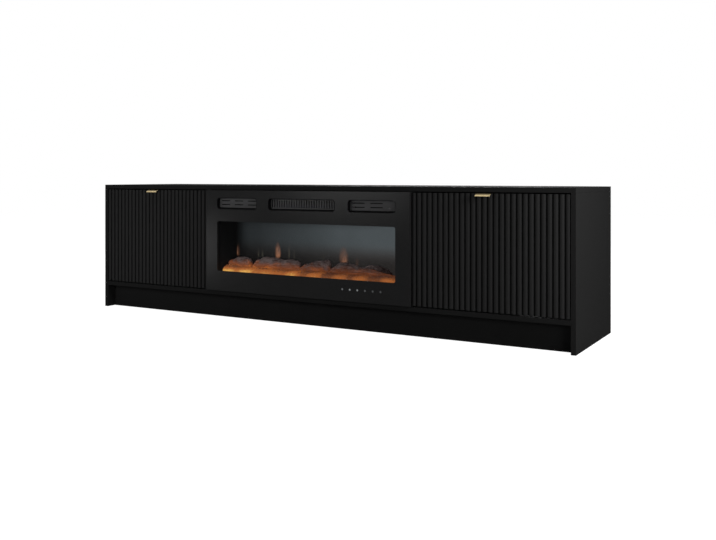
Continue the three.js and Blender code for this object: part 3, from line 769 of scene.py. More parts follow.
@dataclass(frozen=True)
class SatinLacquer(Finish):
    """Sprayed satin lacquer on milled fibreboard: a trace of orange peel, and grooves darkened by painted
    shade.
    """

    peel: float = 260.0
    dust: float = 1500.0
    drift: float = 5.0
    # depths over which the grooves get painted shade, and its darkest share
    shoulder: float = -0.2092
    flank: float = -0.2074
    floor: float = -0.2058
    fade: float = 0.0004
    shade: float = 0.34

    def coat(self, paint: Paint) -> None:
        """Adds the orange peel, the uneven sheen and painted shade in the grooves.

        Args:
            paint: the material.
        """
        _, y, _ = paint.axes(paint.place)
        # painted shade: the colour darkens with depth in the grooves
        painted_groove_shade = y.smooth(self.shoulder, self.flank, 1.0, self.shade)
        painted_shade_factor = painted_groove_shade | y.smooth(self.floor, self.floor + self.fade, 0.0, 1.0)
        peel = paint.grain(self.peel, 1.0)
        drift = paint.grain(self.drift, 2.0, (1, 1, 0.25))
        dust = paint.grain(self.dust, 1.0)
        paint.put(
            colour=paint.mix(painted_shade_factor, BLACK, paint.tint(self.colour, drift, 0.16)),
            roughness=self.roughness + (drift - 0.5) * 0.1 + (dust - 0.5) * 0.06,
            normal=paint.bump(dust, 0.2, 0.00003, paint.bump(peel, 0.25, 0.00008)),
        )


@dataclass(frozen=True)
class PowderCoat(Finish):
    """Powder-coated sheet steel: a fine even texture with a soft sheen."""

    texture: float = 900.0
    drift: float = 3.1
    depth: float = 0.00005

    def coat(self, paint: Paint) -> None:
        """Adds the powder's texture and the sheen's drift.

        Args:
            paint: the material.
        """
        powder = paint.grain(self.texture, 2.0)
        drift = paint.grain(self.drift, 2.0)
        paint.put(
            colour=paint.tint(self.colour, drift, 0.12),
            roughness=self.roughness + (drift - 0.5) * 0.08 + (powder - 0.5) * 0.08,
            normal=paint.bump(powder, 0.3, self.depth),
        )


@dataclass(frozen=True)
class BrushedMetal(Finish):
    """Metal with fine brush lines, along X unless told otherwise, and dulled patches."""

    lines: Point3 = (30.0, 2600.0, 2600.0)
    patch: float = 90.0
    wear: float = 0.2
    depth: float = 0.00002

    def coat(self, paint: Paint) -> None:
        """Adds the brush lines and the dulled patches.

        Args:
            paint: the material.
        """
        brush = paint.grain(1.0, 2.0, self.lines)
        patch = paint.grain(self.patch, 3.0)
        paint.put(
            colour=paint.tint(self.colour, brush * 0.6 + patch * 0.4, self.wear),
            metallic=1.0,
            roughness=self.roughness + (brush - 0.5) * 0.16 + (patch - 0.5) * 0.1,
            normal=paint.bump(brush, 0.25, self.depth),
        )


@dataclass(frozen=True)
class Moulded(Finish):
    """Moulded plastic: a spark-eroded texture and slight flow marks."""

    texture: float = 1300.0
    flow: float = 14.0
    depth: float = 0.00004

    def coat(self, paint: Paint) -> None:
        """Adds the mould's texture and the flow marks.

        Args:
            paint: the material.
        """
        flow = paint.grain(self.flow, 2.0, (1, 1, 3))
        paint.put(
            colour=paint.tint(self.colour, flow, 0.1),
            roughness=self.roughness + (flow - 0.5) * 0.08,
            normal=paint.bump(paint.cells(self.texture), 0.3, self.depth),
        )


@dataclass(frozen=True)
class KeyStrip(Moulded):
    """Light guides of the touch keys: each shows as a softly lit disc, and one or two are brighter."""

    first_x: float = 0.176
    pitch: float = 0.0306
    height: float = 0.150
    rim: float = 0.0044
    core: float = 0.0012
    face: Point2 = (-0.2212, -0.2216)
    levels: tuple[float, ...] = (0.20, 0.36, 0.33, 0.11, 0.08, 0.07)
    light: Colour = (0.62, 0.66, 0.66)

    def coat(self, paint: Paint) -> None:
        """Adds the light of each key, brightest in its middle.

        Args:
            paint: the material.
        """
        super().coat(paint)
        x, y, z = paint.axes(paint.place)
        total: Wire | float = 0.0
        for i, level in enumerate(self.levels):
            across, up = x - (self.first_x + i * self.pitch), z - self.height
            off = (across * across + up * up) ** 0.5
            total = off.smooth(self.rim, self.core, 0.0, level) + total
        paint.put(glow=paint.mix(total * y.smooth(*self.face), BLACK, self.light))


@dataclass(frozen=True)
class Pane(Finish):
    """Clear tempered glass with a thin film of dust."""

    alpha: float = 0.1
    dust: float = 180.0
    wave: float = 6.0

    def coat(self, paint: Paint) -> None:
        """Adds the faint dust and the pane's slight waviness.

        Args:
            paint: the material.
        """
        dust = paint.grain(self.dust, 4.0)
        wave = paint.grain(self.wave, 1.0)
        paint.put(
            colour=paint.tint(self.colour, dust, 0.3),
            roughness=self.roughness + dust * 0.04,
            alpha=self.alpha + (dust - 0.5) * 0.03,
            normal=paint.bump(wave, 0.05, 0.0001),
        )


@dataclass(frozen=True)
class Flame:
    """One flame on the screen: where it stands, and its height, width and strength."""

    x: float
    base: float
    height: float
    width: float
    strength: float


@dataclass(frozen=True)
class FlameScreen(Finish):
    """Smoked acrylic on which the turning vanes throw flames, with a painted reflection of the surroundings
    on it.
    """

    flames: tuple[Flame, ...] = (
        Flame(-0.3845, 0.240, 0.034, 0.007, 0.55),
        Flame(-0.380, 0.236, 0.050, 0.014, 0.16),
        Flame(-0.189, 0.238, 0.058, 0.023, 0.85),
        Flame(-0.182, 0.240, 0.036, 0.015, 0.35),
        Flame(0.108, 0.232, 0.060, 0.036, 0.34),
        Flame(0.112, 0.230, 0.046, 0.024, 0.34),
        Flame(0.165, 0.222, 0.034, 0.014, 0.08),
    )
    wisps: tuple[Flame, ...] = (
        Flame(-0.281, 0.234, 0.036, 0.008, 0.35),
        Flame(-0.262, 0.234, 0.036, 0.008, 0.35),
        Flame(-0.136, 0.236, 0.058, 0.008, 0.40),
        Flame(-0.112, 0.236, 0.040, 0.007, 0.25),
        Flame(0.020, 0.234, 0.034, 0.008, 0.15),
    )
    root: Colour = (0.41, 0.175, 0.092)
    tip: Colour = (0.17, 0.105, 0.085)
    # painted reflection of the bright surroundings: bluish above, warmer low down
    painted_reflection: Colour = (0.074, 0.087, 0.093)
    warm_painted_reflection: Colour = (0.078, 0.068, 0.064)
    wisp: Colour = (0.115, 0.105, 0.080)
    sway: float = 0.010
    sway_waves: float = 38.0
    lick_waves: float = 75.0
    smoke_and_reflection_noise: float = 9.0
    # where the painted reflection fades in at the left end, spreads across and starts over the logs, and
    # where painted shade darkens it under the window's top edge
    left_end: Point2 = (-0.395, -0.318)
    painted_reflection_span: Point2 = (-0.34, 0.34)
    painted_reflection_foot: Point2 = (0.225, 0.31)
    top_shade_span: Point2 = (0.385, 0.340)

    def tongues(self, paint: Paint, flames: Iterable[Flame]) -> tuple[Wire, Wire]:
        """Draws flames as soft tongues of light that thin upwards.

        Args:
            paint: the screen's material.
            flames: the flames.

        Returns:
            How bright they are, and how high up in a flame a point lies.
        """
        x, _, z = paint.axes(paint.place)
        sway = (paint.grain(self.sway_waves, 2.0) - 0.5) * self.sway
        lick = paint.grain(self.lick_waves, 2.0, (2.2, 1, 1)).smooth(0.25, 0.62, 0.45, 1.0)
        total: Wire | float = 0.0
        high: Wire | float = 0.0
        for flame in flames:
            rise = (z - flame.base) / flame.height
            half = (rise * (0.9 - rise * 1.6) + 1.25) * (flame.width * 0.5)
            off = (x - flame.x + sway * rise) / (half | 0.001)
            tongue = (1 - off * off) | 0.0
            body = tongue * tongue * rise.smooth(1.05, 0.30) * rise.smooth(-0.25, 0.1)
            total = body * flame.strength * lick + total
            high = body * (rise | 0.0) + high
        return total & 1.0, high & 1.0

    def coat(self, paint: Paint) -> None:
        """Adds the flames and some pale wisps over a painted reflection of the surroundings, with painted
        shade under the window's top edge.

        Args:
            paint: the material.
        """
        x, _, z = paint.axes(paint.place)
        total, high = self.tongues(paint, self.flames)
        pale, _ = self.tongues(paint, self.wisps)
        smoke_and_reflection_noise = paint.grain(self.smoke_and_reflection_noise, 3.0)
        # painted reflection: it fades in at the left end, is weaker over the logs, and is darker under the
        # top edge as painted shade
        across = x.smooth(*self.painted_reflection_span, 0.27, 1.16) * x.smooth(*self.left_end, 0.02, 1.0)
        above = z.smooth(*self.painted_reflection_foot)
        under = z.smooth(*self.top_shade_span, 0.6, 1.0)
        spread = across * (above * 0.76 + 0.24) * under * (0.8 + smoke_and_reflection_noise * 0.4)
        painted_reflection = paint.mix(spread, BLACK, paint.mix(above, self.warm_painted_reflection, self.painted_reflection))
        behind = paint.mix(pale, painted_reflection, self.wisp)
        paint.put(
            colour=paint.tint(self.colour, smoke_and_reflection_noise, 0.3),
            roughness=self.roughness + (smoke_and_reflection_noise - 0.5) * 0.06,
            glow=paint.mix(total, behind, paint.mix(high, self.root, self.tip)),
        )


@dataclass(frozen=True)
class Embers(Finish):
    """A bed of moulded coals lit from below: brightest at its foot, in the cracks and at the lamps' spots."""

    floor: float = 0.182
    crest: float = 0.200
    hot: Colour = (0.92, 0.50, 0.110)
    warm: Colour = (0.42, 0.125, 0.026)
    dull: Colour = (0.050, 0.016, 0.009)
    ashen: float = 2.4
    coals: float = 85.0
    drift: float = 17.0
    ash: float = 160.0
    fade: Point2 = (-0.30, 0.10)
    # where the glow dims at the back, as painted shade under the logs
    front: Point2 = (-0.150, -0.168)
    reach: float = 0.036
    spots: tuple[float, ...] = (-0.362, -0.277, -0.180, -0.065, 0.033, 0.140, 0.225, 0.340)
    strengths: tuple[float, ...] = (0.28, 0.30, 0.10, 0.38, 0.32, 0.19, 0.18, 0.22)

    def coat(self, paint: Paint) -> None:
        """Adds the glow, by height, by crack and by a slow drift along the bed, and dims it at the back with
        painted shade under the logs.

        Args:
            paint: the material.
        """
        x, y, z = paint.axes(paint.place)
        cracks = paint.cells(self.coals, feature="DISTANCE_TO_EDGE").smooth(0.0, 0.30, 1.0, 0.0)
        drift = paint.grain(self.drift, 3.0, (1, 0.3, 0.3))
        ash = paint.grain(self.ash, 4.0)
        low = (z + (drift - 0.5) * 0.016).smooth(self.floor, self.crest, 1.0, 0.12)
        fire = x.smooth(*self.fade, 0.52, 0.16)
        for place, strength in zip(self.spots, self.strengths):
            off = (x - place) / self.reach
            fire = fire + ((1 - off * off) | 0.0) * strength
        heat = (cracks * 0.16 + low * 0.90 + (drift - 0.5) * 0.7) * fire
        # painted shade: the glow is dimmed behind the ridge, under the logs
        glow = heat * y.smooth(*self.front, 0.75, 1.0)
        warmth = paint.mix(glow.smooth(0.0, 0.42), self.dull, self.warm)
        paint.put(
            colour=paint.mix(ash, self.colour, tuple(c * self.ashen for c in self.colour)),
            roughness=self.roughness + (ash - 0.5) * 0.15,
            glow=paint.mix(glow.smooth(0.40, 0.92), warmth, self.hot),
            normal=paint.bump(ash, 0.6, 0.0008),
        )


@dataclass(frozen=True)
class CharredBark(Finish):
    """Moulded log: pale ash over dark bark, with the embers' light painted on its lower front as a glow."""

    ashen: Colour = (0.41, 0.315, 0.300)
    foot: float = 0.194
    top: float = 0.236
    # painted light: the embers' glow on the log, where it is strong, where it is dim, and where none reaches
    light: Colour = (0.40, 0.115, 0.022)
    painted_ember_glow_dim: Colour = (0.17, 0.046, 0.014)
    unlit: Colour = (0.004, 0.002, 0.002)
    bark: Point3 = (28.0, 150.0, 150.0)
    splits: Point3 = (16.0, 95.0, 95.0)
    patch: float = 42.0
    # where the painted ember light weakens along the log and towards its back
    fade: Point2 = (-0.36, 0.12)
    front: Point2 = (-0.130, -0.148)

    def coat(self, paint: Paint) -> None:
        """Adds bark ridges along the log, ash on its back and painted ember light in its lower half, weaker
        towards its back and its right end.

        Args:
            paint: the material.
        """
        x, y, z = paint.axes(paint.place)
        bark = paint.grain(1.0, 5.0, self.bark, 0.62)
        patch = paint.grain(self.patch, 4.0)
        splits = paint.grain(1.0, 3.0, self.splits).smooth(0.52, 0.40, 0.0, 1.0)
        height = z + (patch - 0.5) * 0.034
        # painted light: the embers' glow on the log's lower half, weaker to the right and at the back
        low = height.smooth(self.foot, self.top, 1.0, 0.0)
        reach = x.smooth(*self.fade, 1.0, 0.52) * y.smooth(*self.front, 0.15, 1.0)
        light = low * (splits * 0.44 + 0.54) * reach
        painted_ember_glow = paint.mix(light.smooth(0.02, 0.48), self.unlit, self.painted_ember_glow_dim)
        ash = (bark * 0.5 + patch * 0.5).smooth(0.30, 0.58) * height.smooth(self.foot, self.top, 0.15, 1.0)
        paint.put(
            colour=paint.mix(ash, self.colour, self.ashen),
            roughness=self.roughness + (bark - 0.5) * 0.1,
            glow=paint.mix(light.smooth(0.42, 1.0), painted_ember_glow, self.light),
            normal=paint.bump(bark, 0.8, 0.0016),
        )


@dataclass(frozen=True)
class Laminate(Finish):
    """Green circuit laminate with lighter tracks and bright pads."""

    track: Colour = (0.05, 0.19, 0.09)
    pad: Colour = (0.62, 0.60, 0.55)
    weave: float = 700.0
    tracks: float = 160.0
    pads: float = 210.0

    def coat(self, paint: Paint) -> None:
        """Adds the tracks and the pads.

        Args:
            paint: the material.
        """
        weave = paint.grain(self.weave, 1.0)
        tracks = paint.cells(self.tracks, distance="CHEBYCHEV")
        board = paint.mix(tracks.smooth(0.40, 0.46), self.colour, self.track)
        paint.put(
            colour=paint.mix(paint.cells(self.pads).smooth(0.13, 0.09), board, self.pad),
            roughness=self.roughness + (weave - 0.5) * 0.1,
            normal=paint.bump(tracks, 0.2, 0.00003),
        )


BOOK: tuple[Finish, ...] = (
    Melamine(Slot.BOARD, (0.0205, 0.0205, 0.0205), 0.62, 0.011),
    SatinLacquer(Slot.FLUTED, (0.036, 0.036, 0.036), 0.55, 0.012),
    BrushedMetal(Slot.GOLD, (0.68, 0.54, 0.30), 0.19),
    Moulded(Slot.NYLON, (0.015, 0.015, 0.015), 0.5, 0.1),
    BrushedMetal(Slot.BRIGHT_STEEL, (0.52, 0.53, 0.55), 0.34, lines=(900.0, 900.0, 900.0), wear=0.12),
    Moulded(Slot.PLASTIC, (0.006, 0.006, 0.0065), 0.5, 0.03),
    Moulded(Slot.INFRARED, (0.012, 0.004, 0.007), 0.10, 0.5),
    KeyStrip(Slot.GREY_PLASTIC, (0.045, 0.047, 0.05), 0.35, 0.3),
    PowderCoat(Slot.PANEL, (0.0215, 0.0215, 0.0218), 0.27, 0.10),
    PowderCoat(Slot.BLACK_STEEL, (0.008, 0.008, 0.0085), 0.5, 0.05),
    Pane(Slot.GLASS, (0.02, 0.022, 0.024), 0.03, 0.3),
    FlameScreen(Slot.SCREEN, (0.006, 0.007, 0.008), 0.45, 0.08),
    Embers(Slot.EMBER, (0.030, 0.022, 0.020), 0.75, 0.2),
    CharredBark(Slot.LOG_RESIN, (0.035, 0.022, 0.020), 0.8, 0.2),
    BrushedMetal(Slot.ALUMINIUM, (0.86, 0.87, 0.89), 0.14, lines=(40.0, 1800.0, 1800.0), wear=0.05),
    Laminate(Slot.CIRCUIT, (0.012, 0.075, 0.035), 0.4),
    Moulded(Slot.CERAMIC, (0.62, 0.58, 0.52), 0.6, texture=500.0),
)
VENT_PAINT = Moulded(Slot.PLASTIC, (0.100, 0.100, 0.102), 0.5, 0.1)


# Geometry Nodes

LATTICE = ("Column Step", "Row Step", "Start")


def rib_graph() -> Graph:
    """Builds the tree that sets rounded ribs side by side in front of a door's slab.

    Returns:
        The tree, with the ribs' sizes as named inputs.
    """
    sizes = ("Length", "Height", "Pitch", "Land", "Depth", "Crown", "Edge")
    graph = Graph("fluted_front", Float=(*sizes, "Bore Radius", "Bore Depth", "Bore Rise"), Int=("Ribs",))
    overlap = 1.0 * MM
    bore_middle = 9.0 * MM
    edge_points, cuts, bore_sides = 3, 3, 24

    def rib(width: Wire) -> Wire:
        """One closed rib of the given width, from its left edge at X 0.

        Args:
            width: width of the rib.

        Returns:
            The rib.
        """
        deep = graph["Depth"] + overlap
        moved = graph.moved(graph.rectangle(width, deep), width / 2, deep / 2, 0.0)
        bent = graph.rounded(moved, edge_points, graph["Edge"])
        fine = graph.node("GeometryNodeSubdivideCurve", {"Curve": bent, "Cuts": cuts})
        across = graph.axes(graph.node("GeometryNodeInputPosition"))[0] / graph["Land"]
        sink = (1 - 4 * across * (1 - across)) * graph["Crown"]
        offset = graph.vector(0.0, sink, 0.0)
        crowned = graph.node("GeometryNodeSetPosition", {"Geometry": fine, "Offset": offset})
        end = graph.node("GeometryNodeFillCurve", {"Curve": crowned}, mode="NGONS")
        return graph.drawn_out(end, graph.vector(0.0, 0.0, graph["Height"]), end)

    whole = graph["Ribs"] - 1
    row = graph.line(whole, graph.vector(graph["Pitch"], 0.0, 0.0))
    ribs = graph.spread(row, rib(graph["Land"]))
    start = whole * graph["Pitch"]
    last = graph.moved(rib(graph["Length"] - start), start, 0.0, 0.0)
    turn = (0.0, math.pi / 2, 0.0)
    size = {"Vertices": bore_sides, "Radius": graph["Bore Radius"], "Depth": graph["Bore Depth"]}
    bores = []
    for share in (0.0, 1.0):
        bore = graph.node("GeometryNodeMeshCylinder", size, fill_type="NGON")
        place = (graph["Length"] * share, bore_middle, graph["Bore Rise"])
        bores.append(graph.moved(bore, *place, Rotation=turn))
    graph.end(graph.cut(*bores), ribs, last)
    return graph


def row_graph() -> Graph:
    """Builds the tree that repeats a small piece in rows and columns.

    Returns:
        The tree, with counts and steps as named inputs.
    """
    graph = Graph("rows", Int=("Columns", "Rows", "Seed"), Vector=LATTICE, Float=("Turn",))
    turned = graph.chance(0.0, graph["Turn"], graph["Seed"])
    graph.end(graph.spread(graph.lattice(), graph["Geometry"], Rotation=graph.vector(0.0, turned, 0.0)))
    return graph


def slot_graph() -> Graph:
    """Builds the tree that cuts rows and columns of round-ended slots through a plate.

    Returns:
        The tree, with the slots' sizes, counts and steps as named inputs.
    """
    sizes = ("Slot Length", "Slot Height", "Corner", "Deep")
    graph = Graph("slotted_plate", Int=("Columns", "Rows"), Vector=LATTICE, Float=sizes)
    end_points = 5
    drawn = graph.rectangle(graph["Slot Length"], graph["Slot Height"])
    bent = graph.rounded(drawn, end_points, graph["Corner"])
    filled = graph.node("GeometryNodeFillCurve", {"Curve": bent}, mode="NGONS")
    end = graph.moved(filled, 0.0, 0.0, graph["Deep"] * -0.5)
    foot = graph.node("GeometryNodeFlipFaces", {"Mesh": end})
    cutter = graph.drawn_out(end, graph.vector(0.0, 0.0, graph["Deep"]), foot)
    turned = graph.moved(cutter, 0.0, 0.0, 0.0, Rotation=(math.pi / 2, 0.0, 0.0))
    cutters = graph.spread(graph.lattice(), turned)
    graph.end(graph.cut(graph.node("GeometryNodeRealizeInstances", {"Geometry": cutters})))
    return graph


def coal_graph() -> Graph:
    """Builds the tree that scatters lumps of coal over a surface.

    Returns:
        The tree, with the coals' sizes and the seed as named inputs.
    """
    sizes = ("Spacing", "Density", "Smallest", "Largest")
    graph = Graph("scattered_coals", Float=sizes, Int=("Seed",))
    spacing = {"Distance Min": graph["Spacing"], "Density Max": graph["Density"], "Seed": graph["Seed"]}
    points = graph.node(
        "GeometryNodeDistributePointsOnFaces",
        {"Mesh": graph["Geometry"], **spacing},
        distribute_method="POISSON",
    )
    dent_waves, dent_middle, dent_depth = 1.3, 0.62, 0.9
    length, thickness = 1.5, 0.8
    no_turn, any_turn = (0.0, 0.0, 0.0), (6.28, 6.28, 6.28)
    size_seed, turn_seed = 3, 7
    lump = graph.node("GeometryNodeMeshIcoSphere", {"Radius": 1.0, "Subdivisions": 2})
    where = graph.node("GeometryNodeInputPosition")
    dent = graph.node("ShaderNodeTexNoise", {"Vector": where, "Scale": dent_waves, "Detail": 1.0})
    push = {0: where, "Scale": (dent - dent_middle) * dent_depth}
    pushed = graph.node("ShaderNodeVectorMath", push, operation="SCALE")
    rough = graph.node("GeometryNodeSetPosition", {"Geometry": lump, "Offset": pushed})
    size = graph.chance(graph["Smallest"], graph["Largest"], graph["Seed"] + size_seed)
    turn = graph.chance(no_turn, any_turn, graph["Seed"] + turn_seed, "FLOAT_VECTOR")
    scale = graph.vector(size * length, size, size * thickness)
    graph.end(graph.spread(points, rough, Rotation=turn, Scale=scale))
    return graph


# Workbench


@dataclass(frozen=True)
class Trim:
    """A node that is shown as it was packed, but for its edges, whose rounding is in millimetres."""

    node: str
    slot: Slot
    width: float
    segments: int = 2
    degrees: float = 30.0


class Bench:
    """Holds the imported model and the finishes, and hands finished pieces over to the bodies."""

    def __init__(self, frame: dict[str, Any]) -> None:
        """Reads the frame, and makes the finishes and the tree that repeats small pieces.
        """
        self.nodes: dict[str, bpy.types.Object] = frame["nodes"]
        bodies = frame["record"]["behaviour"]["bodies"]
        self.body_of = {node: Body(body) for body, members in bodies.items() for node in members}
        self.materials = {finish.slot: finish.made() for finish in BOOK}
        self.rows = row_graph()
        self.pieces = 0

    def place(
        self,
        piece: bpy.types.Object,
        slot: Slot,
        *nodes: str,
        body: Body = Body.ROOT,
        material: bpy.types.Material | None = None,
    ) -> None:
        """Gives a piece its finish and its body.

        Args:
            piece: finished piece at the origin.
            slot: slot of its finish.
            nodes: nodes that it stands for.
            body: body that it rides on.
            material: a variant of the slot's finish, where the piece has one.
        """
        piece.data.materials.clear()
        piece.data.materials.append(material or self.materials[slot])
        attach(piece, body.value)
        if nodes:
            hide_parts(*nodes)
        self.pieces += 1
        LOG.info("%s: %d faces, on %s", piece.name, len(piece.data.polygons), body.value)

    def repeat(
        self,
        piece: bpy.types.Object,
        slot: Slot,
        start: Point3,
        columns: tuple[int, Point3],
        rows: tuple[int, Point3] = (1, (0.0, 0.0, 0.0)),
        turn: tuple[float, int] = (0.0, 1),
        **more: Any,
    ) -> None:
        """Repeats a small piece in rows and columns, and places the result.

        Args:
            piece: the small piece.
            slot: slot of its finish.
            start: how far the first one is moved.
            columns: count and step of the columns.
            rows: count and step of the rows.
            turn: the largest random turn about Y, and its seed.
            more: body and material, as place takes them.
        """
        values = {
            "Columns": columns[0],
            "Column Step": columns[1],
            "Rows": rows[0],
            "Row Step": rows[1],
            "Start": start,
            "Turn": turn[0],
            "Seed": turn[1],
            "Material": self.materials[slot],
        }
        self.place(smoothed(self.rows.bake(piece, values)), slot, **more)

    def copied(self, node: str) -> bpy.types.Object:
        """A clean copy of a node's mesh, merged and without needless edges.

        Args:
            node: the node.

        Returns:
            The copy, as a piece.
        """
        work = welded(self.nodes[node].data)
        flat = math.radians(1.0)
        bmesh.ops.dissolve_limit(
            work, angle_limit=flat, verts=work.verts, edges=work.edges, use_dissolve_boundaries=False
        )
        return from_bmesh(node + "_made", work)

    def refine(self, *trims: Trim, prefix: str = "") -> None:
        """Replaces nodes by copies with rounded edges.

        Args:
            trims: the nodes, with their finishes and edges.
            prefix: what each node's name starts with, where the trims leave that out.
        """
        for trim in trims:
            node = prefix + trim.node
            piece = eased(self.copied(node), trim.width * MM, trim.segments, trim.degrees)
            self.place(piece, trim.slot, node, body=self.body_of[node])


def disc_head(name: str, radius: float, rise: float, slot_depth: float = 0.0) -> bpy.types.Object:
    """A small round head that faces back along +Y, with its foot at Y 0.

    Args:
        name: the piece's name.
        radius: the head's radius.
        rise: how far it stands out.
        slot_depth: depth of a cross slot, or 0 for none.

    Returns:
        The head, as a piece to be repeated.
    """
    steps = 24
    wing, waist, lip = 0.42, 0.17, 0.1
    profile = ((1.0, -0.15), (1.0, 0.45), (0.82, 0.85), (0.45, 1.0))
    cross = [wing if i % (steps // 4) == 0 else waist for i in range(steps)]

    def ring(shares: Sequence[float], level: float) -> list[Vector]:
        """One ring about Y, with each point's distance as a share of the radius."""
        turns = [(radius * share, 2 * math.pi * i / steps) for i, share in enumerate(shares)]
        return [Vector((reach * math.cos(angle), level, reach * math.sin(angle))) for reach, angle in turns]

    rings = [ring([share] * steps, rise * level) for share, level in profile]
    if slot_depth:
        rings += [ring(cross, rise - slot_depth * lip), ring(cross, rise - slot_depth)]
    return lofted(name, rings)


# Sub-assemblies


@dataclass
class Cabinet:
    """The carcass: boards with eased edges, back sheets with their nails, and cover caps inside.

    The boards' ease is in millimetres, as a trim has it.
    """

    bench: Bench
    board_ease: float = 0.45
    cap_radius: float = 7.0 * MM
    cap_rise: float = 0.9 * MM
    cap_inset: float = 34.0 * MM
    cap_setback: float = 90.0 * MM
    cap_step: float = 250.0 * MM
    nail_radius: float = 2.6 * MM
    nail_pitch: float = 76.0 * MM
    nail_inset: float = 8.0 * MM
    nail_rise: float = 0.57 * MM
    sheet_ease: float = 0.3 * MM
    sheet_relief: float = 0.6 * MM
    sheet_reach: float = 10 * WELD
    single: tuple[str, ...] = (
        "top_panel",
        "floor_panel",
        "plinth_front",
        "plinth_rear_rail",
        "rear_stretcher",
    )
    paired: tuple[str, ...] = ("side_panel", "partition", "shelf")

    def build(self) -> None:
        """Makes every board, sheet, cap and nail."""
        boards = [*self.single, *(f"{side.value}_{board}" for board in self.paired for side in Side)]
        self.bench.refine(*(Trim(node, Slot.BOARD, self.board_ease) for node in boards))
        for side in Side:
            self.back_sheet(side)
            self.caps(side)

    def back_sheet(self, side: Side) -> None:
        """Makes one back sheet, a little thinner than its place, and its nails.

        Args:
            side: the sheet's side.
        """
        node = f"{side.value}_back_panel"
        low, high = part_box(node)
        sheet = self.bench.copied(node)
        for vertex in sheet.data.vertices:
            if vertex.co.y > high.y - self.sheet_reach:
                vertex.co.y -= self.sheet_relief
        self.bench.place(eased(sheet, self.sheet_ease), Slot.BOARD, node)
        inset = self.nail_inset
        width, height = high.x - low.x - 2 * inset, high.z - low.z - 2 * inset
        across, up = round(width / self.nail_pitch), round(height / self.nail_pitch)
        step, gap = width / across, height / up
        for word, shift, columns, rows in (
            ("edge", 0.0, (across + 1, (step, 0.0, 0.0)), (2, (0.0, 0.0, height))),
            ("post", gap, (2, (width, 0.0, 0.0)), (up - 1, (0.0, 0.0, gap))),
        ):
            head = disc_head(f"{side.value}_back_nails_{word}", self.nail_radius, self.nail_rise)
            start = (low.x + inset, high.y - self.sheet_relief, low.z + inset + shift)
            self.bench.repeat(head, Slot.BRIGHT_STEEL, start, columns, rows)

    def caps(self, side: Side) -> None:
        """Makes the round cover caps over the cabinet's fittings inside one bay.

        Args:
            side: the bay's side.
        """
        low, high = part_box(f"{side.value}_shelf")
        cap = disc_head(f"{side.value}_cover_caps", self.cap_radius, self.cap_rise)
        cap.data.transform(Matrix.Rotation(-math.pi / 2, 4, "X"))
        start = (low.x + self.cap_inset, low.y + self.cap_setback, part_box("top_panel")[0].z)
        across = high.x - low.x - 2 * self.cap_inset
        self.bench.repeat(cap, Slot.PLASTIC, start, (2, (across, 0.0, 0.0)), (2, (0.0, self.cap_step, 0.0)))


